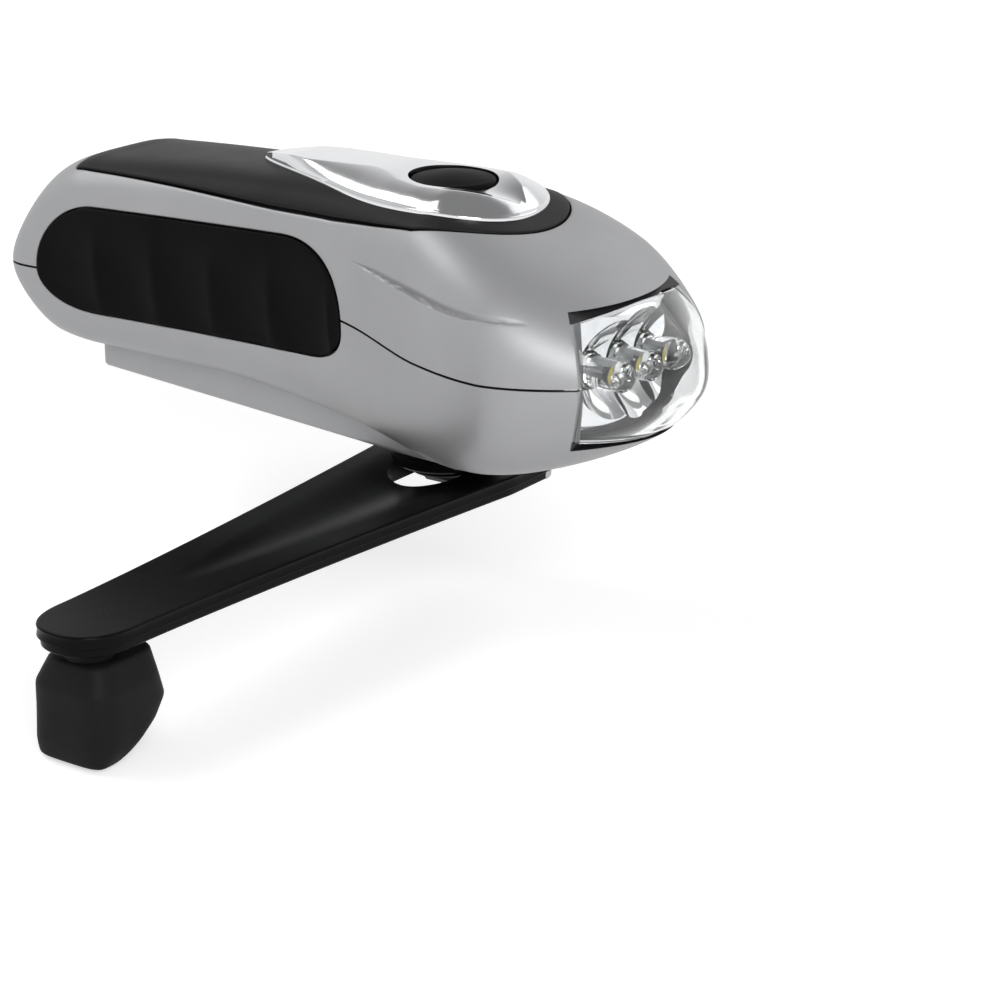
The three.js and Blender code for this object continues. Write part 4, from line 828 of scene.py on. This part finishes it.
def power_button():
    """The black push button: nearly round, with upright sides, a rounded edge and a low crown."""
    edge = quarter(7)
    within = np.linspace(0.9, 0, 9)[1:]
    shares = chain([1.0], 1 - 0.09 * (1 - np.cos(edge)), within)
    corner = BUTTON_TOP - BUTTON_EDGE + BUTTON_EDGE * np.sin(edge)
    crown = BUTTON_TOP + BUTTON_CROWN * (1 - (within / 0.91) ** 2)
    heights = chain([BUTTON_FOOT], corner, crown)[:, None]
    flat = (button_outline(0) - [BUTTON_X, 0]) * shares[:, None, None]
    points = places(BUTTON_X + flat[..., 0], flat[..., 1], heights)
    piece = grid_solid("power_button_cap", points[:-1], (BUTTON_X, 0, BUTTON_FOOT), points[-1, 0])
    finish(piece, "button", ["power_button"], "soft_black", FINISH["grip_rubber"])


def scoops(x, z):
    """Depth of the finger scoops: five hollows 4 p (1 - p) between bowed creases, where p runs from 0 to
    1 across each, faded out towards the top."""
    bow = 1.1 * ((z - 4) / 9) ** 2
    p = (x - bow + 65.1) / 13.3
    across = p - np.floor(p)
    return 4 * across * (1 - across) * (1 - smooth(z, 2, 12.5)) * smooth(z, -9, -2)


def grip_plate(name, side, edge, scooped=True):
    """A grip, or its pocket, as a plate on the side of the housing."""
    def place(x, z, h):
        skin = on_side(x, z, side)
        lift = h - scoops(x, z) * np.clip(h / 0.45, 0, 1) if scooped else h
        return skin + lift[..., None] * skin_normal(skin)

    return plate(name, grip_border(), place, edge, fill=40, middle=3.0)


def side_grip(side):
    name = "left_grip" if side > 0 else "right_grip"
    piece = grip_plate(name + "_rubber", side, rim(-GRIP_DEPTH, 0.36, 0.4))
    finish(piece, "housing", [name], "grip_rubber")


upper_shell()
lower_shell()
top_panel()
button_bezel()
power_button()
side_grip(1)
side_grip(-1)


# Clear nose, reflector and lamps

NOSE_CENTRE = 20.0  # the nose's skin is found along rays from here
NOSE_SOFT = 4.0  # softens the tip of the nose
LENS_THICK, LENS_EDGE = 1.5, 0.35
LENS_ROUND, LENS_TALL = 27.0, 21.6  # half the cover's way round and its height
BOWL_BACK, BOWL_SPREAD, BOWL_RADIUS = 35.3, 14.25, 10.6
LAMP_TIP, LAMP_RADIUS = 44.6, 2.5


def nose_distance(angle, z):
    """How far the skin is from (20, 0, z) in the direction of each angle, found by halving. Both y and z
    count as (v^4 + 4^4)^(1/4), which rounds the tip of the nose, the forms over and under the seam are
    mixed within 5 mm of it, and a bulge of 2 mm gives the tip back its reach."""
    near, far = np.zeros(angle.shape), np.full(angle.shape, 40.0)
    high = (z ** 4 + NOSE_SOFT ** 4) ** 0.25
    upper = smooth(z, -5, 5)
    for _ in range(26):
        middle = (near + far) / 2
        x = NOSE_CENTRE + middle * np.cos(angle)
        y = ((middle * np.sin(angle)) ** 4 + NOSE_SOFT ** 4) ** 0.25
        over, under = (fullness(places(x, y, side * high)) for side in (1, -1))
        inside = upper * over + (1 - upper) * under < 1
        near, far = np.where(inside, middle, near), np.where(inside, far, middle)
    return near + 2.0 * np.exp(-(angle / 0.3) ** 2 - ((z - 1.5) / 6.0) ** 2)


def grid_normal(points):
    """Unit normals of a grid of points, from the cross product of its two differences."""
    normal = np.cross(np.gradient(points, axis=1), np.gradient(points, axis=0))
    normal /= np.linalg.norm(normal, axis=-1, keepdims=True)
    return normal * np.sign((normal * (points - [NOSE_CENTRE, 0, 0])).sum(axis=-1, keepdims=True))


def slab(name, outer, inner):
    """A closed sheet between two grids of points, with a strip round its border."""
    rows, columns = outer.shape[:2]
    index = np.arange(rows * columns).reshape(rows, columns)
    quads = places(index[:-1, :-1], index[:-1, 1:], index[1:, 1:], index[1:, :-1]).reshape(-1, 4)
    ring = chain(index[0], index[1:, -1], index[-1, -2::-1], index[-2:0:-1, 0])
    after, under = np.roll(ring, -1), rows * columns
    sides = places(ring, after, after + under, ring + under)
    vertices = chain(outer.reshape(-1, 3), inner.reshape(-1, 3))
    faces = chain(quads, quads[:, ::-1] + under, sides)
    return outward(new_piece(name, vertices, faces.tolist()))


def lens_cover():
    """The clear nose: a sheet of the housing's own form. Its top and bottom edges bow away from the
    opening's corners by 1.05 u^2, and all its edges are rounded."""
    u = np.sin(np.linspace(-np.pi / 2, np.pi / 2, 170))[None, :]
    v = (1 + np.sin(np.linspace(-np.pi / 2, np.pi / 2, 100)))[:, None] / 2
    top, low = LENS_TOP - GAP - 1.05 * u ** 2, -LENS_FOOT + GAP + 1.05 * u ** 2
    z = low + v * (top - low)
    side_x = LENS_SIDE_X + GAP - lens_bow(z) * (np.abs(z) / 11.1) ** 2
    side_y = on_side(side_x, z, 1)[..., 1]
    angle = u * np.arctan2(side_y, side_x - NOSE_CENTRE)
    distance = nose_distance(angle, z)
    skin = places(NOSE_CENTRE + distance * np.cos(angle), distance * np.sin(angle), z)
    normal = grid_normal(skin)
    from_edge = np.minimum((1 - np.abs(u)) * LENS_ROUND, np.minimum(v, 1 - v) * LENS_TALL)
    fall = LENS_EDGE * (1 - np.sqrt(1 - np.clip(1 - from_edge / LENS_EDGE, 0, 1) ** 2))[..., None]
    piece = slab("nose_sheet", skin - normal * fall, skin - normal * (LENS_THICK - fall))
    finish(piece, "housing", ["lens_cover"], "clear_plastic")


def reflector():
    """The plated reflector. Its face bows as x = 41 - 0.03 y^2, and three bowls r^2 = 14.25 (x - 35.3) are
    sunk into it, one round each lamp, so that they meet in scallops."""
    y = np.linspace(-22, 22, 89)
    face = 41 - 0.03 * y ** 2
    back = np.minimum(34.5, face - 2)
    outline = chain(places(face, y), places(back, y)[::-1])
    piece = prism("reflector_plating", outline, -LENS_SIGHT, LENS_SIGHT)
    keep(piece, housing_solid("inside", 1.95, 120, 144))
    r = np.linspace(0, BOWL_RADIUS, 40)
    height = BOWL_BACK + r ** 2 / BOWL_SPREAD
    for side in (-1, 0, 1):
        centre = (0, LAMP_PITCH * side, 0)
        cut(piece, turned("bowl", [*zip(r, height), (0, height[-1])], 120, centre, 'x'))
        cut(piece, rod("seat", 3.2, 30, 37, centre, 'x'))
    finish(piece, "housing", ["reflector"], "chrome", MIRROR)


def lamp(count):
    """A 5 mm lamp: a clear body with a domed tip, and the frame and yellow phosphor seen through it."""
    y = LAMP_PITCH * (count - 2)
    at = (0, y, 0)
    centre = LAMP_TIP - LAMP_RADIUS
    dome = [(LAMP_RADIUS * np.cos(a), centre + LAMP_RADIUS * np.sin(a)) for a in quarter(15)[:-1]]
    flange = [(0, 36.0), (2.75, 36.0), (2.9, 36.15), (2.9, 36.85), (2.75, 37.0), (LAMP_RADIUS, 37.1)]
    body = turned(f"lamp_{count}_body", [*flange, *dome, (0, LAMP_TIP)], 80, at, 'x')
    finish(body, "housing", [f"lamp_{count}"], "lamp_clear")
    cup = [(0, 39.4), (0.65, 39.4), (1.15, 40.8), (1.0, 40.8), (0.75, 40.2), (0, 40.2)]
    posts = turned(f"lamp_{count}_frame", cup, 48, at, 'x')
    weld(posts, block("post", (34.6, y - 1.1, -0.3), (39.8, y - 0.3, 0.3)))
    weld(posts, block("other_post", (34.6, y + 0.95, -0.25), (40.6, y + 1.5, 0.25)))
    finish(posts, "housing", [], "steel")
    chip = [(0, 40.3), (0.9, 40.3), (0.95, 40.62), (0.5, 40.85), (0, 40.9)]
    finish(turned(f"lamp_{count}_phosphor", chip, 40, at, 'x'), "housing", [], "lamp_clear", PHOSPHOR)


# Crank, made with its arm along +x

ARM_TOP, ARM_FOOT = -24.7, -28.3
ARM_REAR, ARM_CORNER = -13.8, 3.0
ARM_TIP_X, ARM_TIP, ARM_HALF = 87.0, 9.9, 7.8  # where the rounded end starts, its length and half width
ARM_WIDENING = 7.1  # what half the width gains to the hub
PIN_X, PIN_Z = -11.0, -27.5  # hinge pin, along and up
PIN_REACH = 14.1  # half the pin's length
SLOT_HALF, SLOT_FRONT = 6.3, 12.0
KNOB_AXIS = 89.5
KNOB_TOP, KNOB_TALL, KNOB_EDGE = -30.2, 15.8, 0.6
KNOB_HUB_SIDE = 10.4  # the knob's reach from its axis towards the hub


def in_place(piece):
    """Turns a piece of the crank from +x to where the arm points in the photograph."""
    c, s = math.cos(CRANK_ANGLE), math.sin(CRANK_ANGLE)
    move(piece.data, read(piece.data.vertices, "co") @ np.array([[c, s, 0], [-s, c, 0], [0, 0, 1]]))
    return piece


def arm_width(s):
    """Half the arm's width: 7.8 at the knob's end and 14.9 at the hub, by (1 - s / 87)^1.35."""
    return ARM_HALF + ARM_WIDENING * np.clip(1 - s / ARM_TIP_X, 0, 1) ** 1.35


def arm_border():
    turn = quarter(26)[:-1]
    tip_x, tip_y = (f(turn) ** (2 / 2.4) for f in (np.cos, np.sin))
    tip = places(ARM_TIP_X + ARM_TIP * tip_x, ARM_HALF * tip_y)
    start, flat = ARM_REAR + ARM_CORNER, arm_width(0) - ARM_CORNER
    s = np.linspace(ARM_TIP_X, start, 120)
    side = places(s, arm_width(np.maximum(s, 0)))
    end = corner(start, flat, ARM_CORNER, 8)
    rear = places(ARM_REAR, np.linspace(flat, 0, 13)[1:])
    return mirrored(chain(tip, side, end, rear))


def valley(s, t):
    """Depth of the valley that runs from the slot towards the knob: 1.5 f (1 + cos(pi t / v)) / 2 with
    f = 1 - s / 70 and the half-width v = 12 (1 - s / 78)^0.8."""
    share = np.clip(1 - np.maximum(s, 0) / 70, 0, 1)
    half = 12 * np.clip(1 - np.maximum(s, 0) / 78, 0.001, 1) ** 0.8
    return 1.5 * share * (1 + np.cos(np.pi * np.clip(np.abs(t) / half, 0, 1))) / 2


def crank_arm():
    """The forked arm: a top layer over a slightly smaller lower one, a valley, and a slot for the hub."""
    def place(s, t, h):
        return places(s, t, np.where(h > ARM_TOP - 0.01, h - valley(s, t), h))

    lower = [(1.0, ARM_FOOT), (0.7, -28.22), (0.55, -28.0), (0.5, -26.9), (0.4, -26.76), (0.1, -26.7)]
    upper = [(0, -26.6), (0.12, -25.9), (0.12, -25.3), (0, -25.0), (0.06, -24.85), (0.2, -24.73)]
    edge = lower + upper + [(0.4, ARM_TOP), (0.7, ARM_TOP)]
    arm = plate("crank_arm_moulding", arm_border(), place, edge, fill=44)
    centre = SLOT_FRONT - SLOT_HALF
    turn = np.linspace(-np.pi / 2, np.pi / 2, 40)
    front = places(centre + SLOT_HALF * np.cos(turn), SLOT_HALF * np.sin(turn))
    slot = chain([(-30, -SLOT_HALF)], front, [(-30, SLOT_HALF)])
    cut(arm, prism("slot", slot, -40, -20))
    cut(arm, rod("pin_hole", 1.15, -20, 20, (PIN_X, 0, PIN_Z), 'y'))
    cut(arm, rod("spindle_hole", 2.3, -40, -26.1, (KNOB_AXIS, 0, 0)))
    finish(in_place(arm), "arm", ["crank_arm"], "crank_plastic", sharp=30)


def crank_hub():
    """The hub: a disc under the housing, a round boss in the arm's slot and the knuckle for the pin."""
    disc = [(0, -22.5), (8.8, -22.5), (9, -22.7), (9, -24.1), (8.7, -24.4), (0, -24.4)]
    boss = [(0, -24.2), (6, -24.2), (6, -25.8), (5.7, -26.1), (0, -26.1)]
    turn = np.linspace(np.pi / 2, 3 * np.pi / 2, 24)
    heel = places(PIN_X + 2.8 * np.cos(turn), PIN_Z + 2.8 * np.sin(turn))
    lug = chain([(-2, -24.2), (-8.7, -24.2), (-11, ARM_TOP)], heel, [(-3, -30.3), (-2, -29.3)])
    hub = turned("crank_hub_moulding", disc, 120)
    weld(hub, turned("boss", boss, 96), prism("knuckle", lug, -6, 6, 'y'))
    cut(hub, rod("shaft_hole", 3.3, -26, -20), rod("pin_hole", 1.3, -20, 20, (PIN_X, 0, PIN_Z), 'y'))
    finish(in_place(hub), "crank", ["crank_hub"], "crank_plastic")


def hinge_pin():
    half = [(0, PIN_REACH), (0.85, PIN_REACH), (1, PIN_REACH - 0.15)]
    profile = [(r, -h) for r, h in half] + half[::-1]
    piece = turned("hinge_pin_rod", profile, 48, (PIN_X, 0, PIN_Z), 'y')
    finish(in_place(piece), "arm", ["hinge_pin"], "steel")


def crank_knob():
    """The knob: superelliptic rings between two curves, one slanted towards the hub and one upright."""
    at = [0, 0.26, 0.5, 0.69, 0.835, 0.927, 1]
    down = chain([0, 0.004, 0.015], np.linspace(0.03, 0.98, 60), [0.99, 0.997, 1])

    def along(values):
        return eased(at, values, down, 0.06)

    hub = KNOB_HUB_SIDE * along([0.86, 0.89, 1, 0.77, 0.44, 0.2, -0.1])
    far = along([4.5, 6.4, 6.4, 6.4, 6.4, 6.3, 6.1])
    wide = along([5.8, 7.6, 7.75, 7.7, 7.5, 7.0, 6.3])
    from_end = np.minimum(down, 1 - down) * 16
    soft = KNOB_EDGE * (1 - np.sqrt(1 - np.clip(1 - from_end / KNOB_EDGE, 0, 1) ** 2))
    angle = full_turn(128)
    c, s = np.cos(angle), np.sin(angle)
    reach = reach_at(c, s, 4)
    half, middle = ((far + hub) / 2 - soft)[:, None], (KNOB_AXIS + (far - hub) / 2)[:, None]
    z = (KNOB_TOP - KNOB_TALL * down)[:, None]
    body = places(middle + half * c * reach, (wide - soft)[:, None] * s * reach, z)
    shrink = np.linspace(0.9, 0.15, 8)[:, None, None]
    top, foot = (places(middle[row, 0], 0, 0) for row in (0, -1))
    flat = foot + (body[-1] * [1, 1, 0] - foot) * shrink
    crown = flat + np.array([0, 0, 1]) * (body[-1, 0, 2] - 0.5 * (1 - shrink ** 2))
    lid = top + (body[0] * [1, 1, 0] - top) * shrink[::-1] + np.array([0, 0, KNOB_TOP])
    poles = top + [0, 0, KNOB_TOP], foot + [0, 0, z[-1, 0] - 0.5]
    knob = grid_solid("crank_knob_rubber", chain(lid, body, crown), *poles)
    axis = (KNOB_AXIS, 0, 0)
    weld(knob, rod("neck", 4.1, -31.5, ARM_FOOT - GAP, axis, count=72))
    cut(knob, rod("bore", 2.3, -42.8, -20, axis), rod("head_room", 3.2, -43.1, -41.2, axis))
    finish(in_place(knob), "knob", ["crank_knob"], "knob_rubber")


lens_cover()
reflector()
for lamp_number in (1, 2, 3):
    lamp(lamp_number)
crank_arm()
crank_hub()
hinge_pin()
crank_knob()


# Camera, floor and light

PICTURE, SENSOR = 1000, 36.0  # the picture's width in pixels and the sensor's in millimetres
AZIMUTH, ELEVATION = math.radians(37.80), math.radians(19.62)
DISTANCE, FOCUS = 515.2, 3001.75  # in millimetres and in pixels
TARGET = np.array([8.4, 4.8, -31.6])


def add_camera():
    """The photograph's view: its direction, distance and focal length were fitted to the housing."""
    back = np.array([math.sin(AZIMUTH) * math.cos(ELEVATION), -math.cos(AZIMUTH) * math.cos(ELEVATION),
                     math.sin(ELEVATION)])
    data = bpy.data.cameras.new("view")
    data.sensor_width = SENSOR
    data.lens = FOCUS * SENSOR / PICTURE
    data.clip_start, data.clip_end = 0.01, 20
    camera = in_scene("view", data)
    camera.location = (ORIGIN + TARGET + DISTANCE * back) * MM
    camera.rotation_euler = (math.pi / 2 - ELEVATION, 0, AZIMUTH)
    bpy.context.scene.camera = camera


def seen_rays(tree):
    """One for the eye, mirrors and glass, and zero for the light that falls on things."""
    path = node(tree, 'LightPath')
    either = number(tree, 'MAXIMUM', path['Is Camera Ray'], path['Is Glossy Ray'])
    return number(tree, 'MAXIMUM', either, path['Is Transmission Ray'])


def add_world():
    """Studio walls: white up to 15 degrees above the horizon, and a dim ceiling above 53, where the
    direction's height is 0.26 and 0.80. Three quarters of that falls on things as light."""
    world = bpy.data.worlds.new("studio")
    world.use_nodes = True
    bpy.context.scene.world = world
    tree = world.node_tree
    direction = node(tree, 'TexCoord')['Generated']
    height = node(tree, 'SeparateXYZ', {'Vector': direction})['Z']
    walls = {'Value': height, 'From Min': 0.26, 'From Max': 0.80, 'To Min': 1.0, 'To Max': 0.27}
    level = node(tree, 'MapRange', walls, interpolation_type='SMOOTHSTEP')['Result']
    share = node(tree, 'MapRange', {'Value': seen_rays(tree), 'To Min': 0.75})['Result']
    feed(tree, tree.nodes['Background'].inputs,
         {'Color': (1, 1, 1, 1), 'Strength': number(tree, 'MULTIPLY', level, share)})


def add_lamp(name, place, size, power):
    """A soft box, placed in millimetres from the housing's middle and aimed at it."""
    data = bpy.data.lights.new(name, 'AREA')
    data.shape = 'RECTANGLE'
    data.size, data.size_y = size[0] * MM, size[1] * MM
    data.energy = power
    box = in_scene(name, data)
    place = np.array(place, float)
    box.location = (ORIGIN + place) * MM
    away = place / np.linalg.norm(place)
    box.rotation_euler = (math.acos(away[2]), 0, math.atan2(away[1], away[0]) + math.pi / 2)


def add_floor():
    """A pale floor under the knob. The eye, mirrors and glass see it a little brighter, so that it is
    white with the shadow left in it."""
    corners = [(-3.0, -3.0, 0), (3.0, -3.0, 0), (3.0, 3.0, 0), (-3.0, 3.0, 0)]  # in metres
    floor = new_piece("floor", corners, [(0, 1, 2, 3)])
    material, tree, shader = new_material("pale floor")
    feed(tree, shader, {
        'Base Color': (0.66, 0.66, 0.66, 1), 'Roughness': 0.9, 'Specular IOR Level': 0.1,
        'Emission Color': (1, 1, 1, 1),
        'Emission Strength': number(tree, 'MULTIPLY', seen_rays(tree), 0.55)})
    floor.data.materials.append(material)


bpy.context.scene.view_settings.view_transform = 'Standard'
add_camera()
add_world()
add_floor()
add_lamp("key", (-900, -300, 1300), (1100, 900), 8.5)
add_lamp("right", (1050, -850, 760), (800, 700), 13.0)
add_lamp("behind", (200, 1300, 1100), (1500, 600), 3.0)
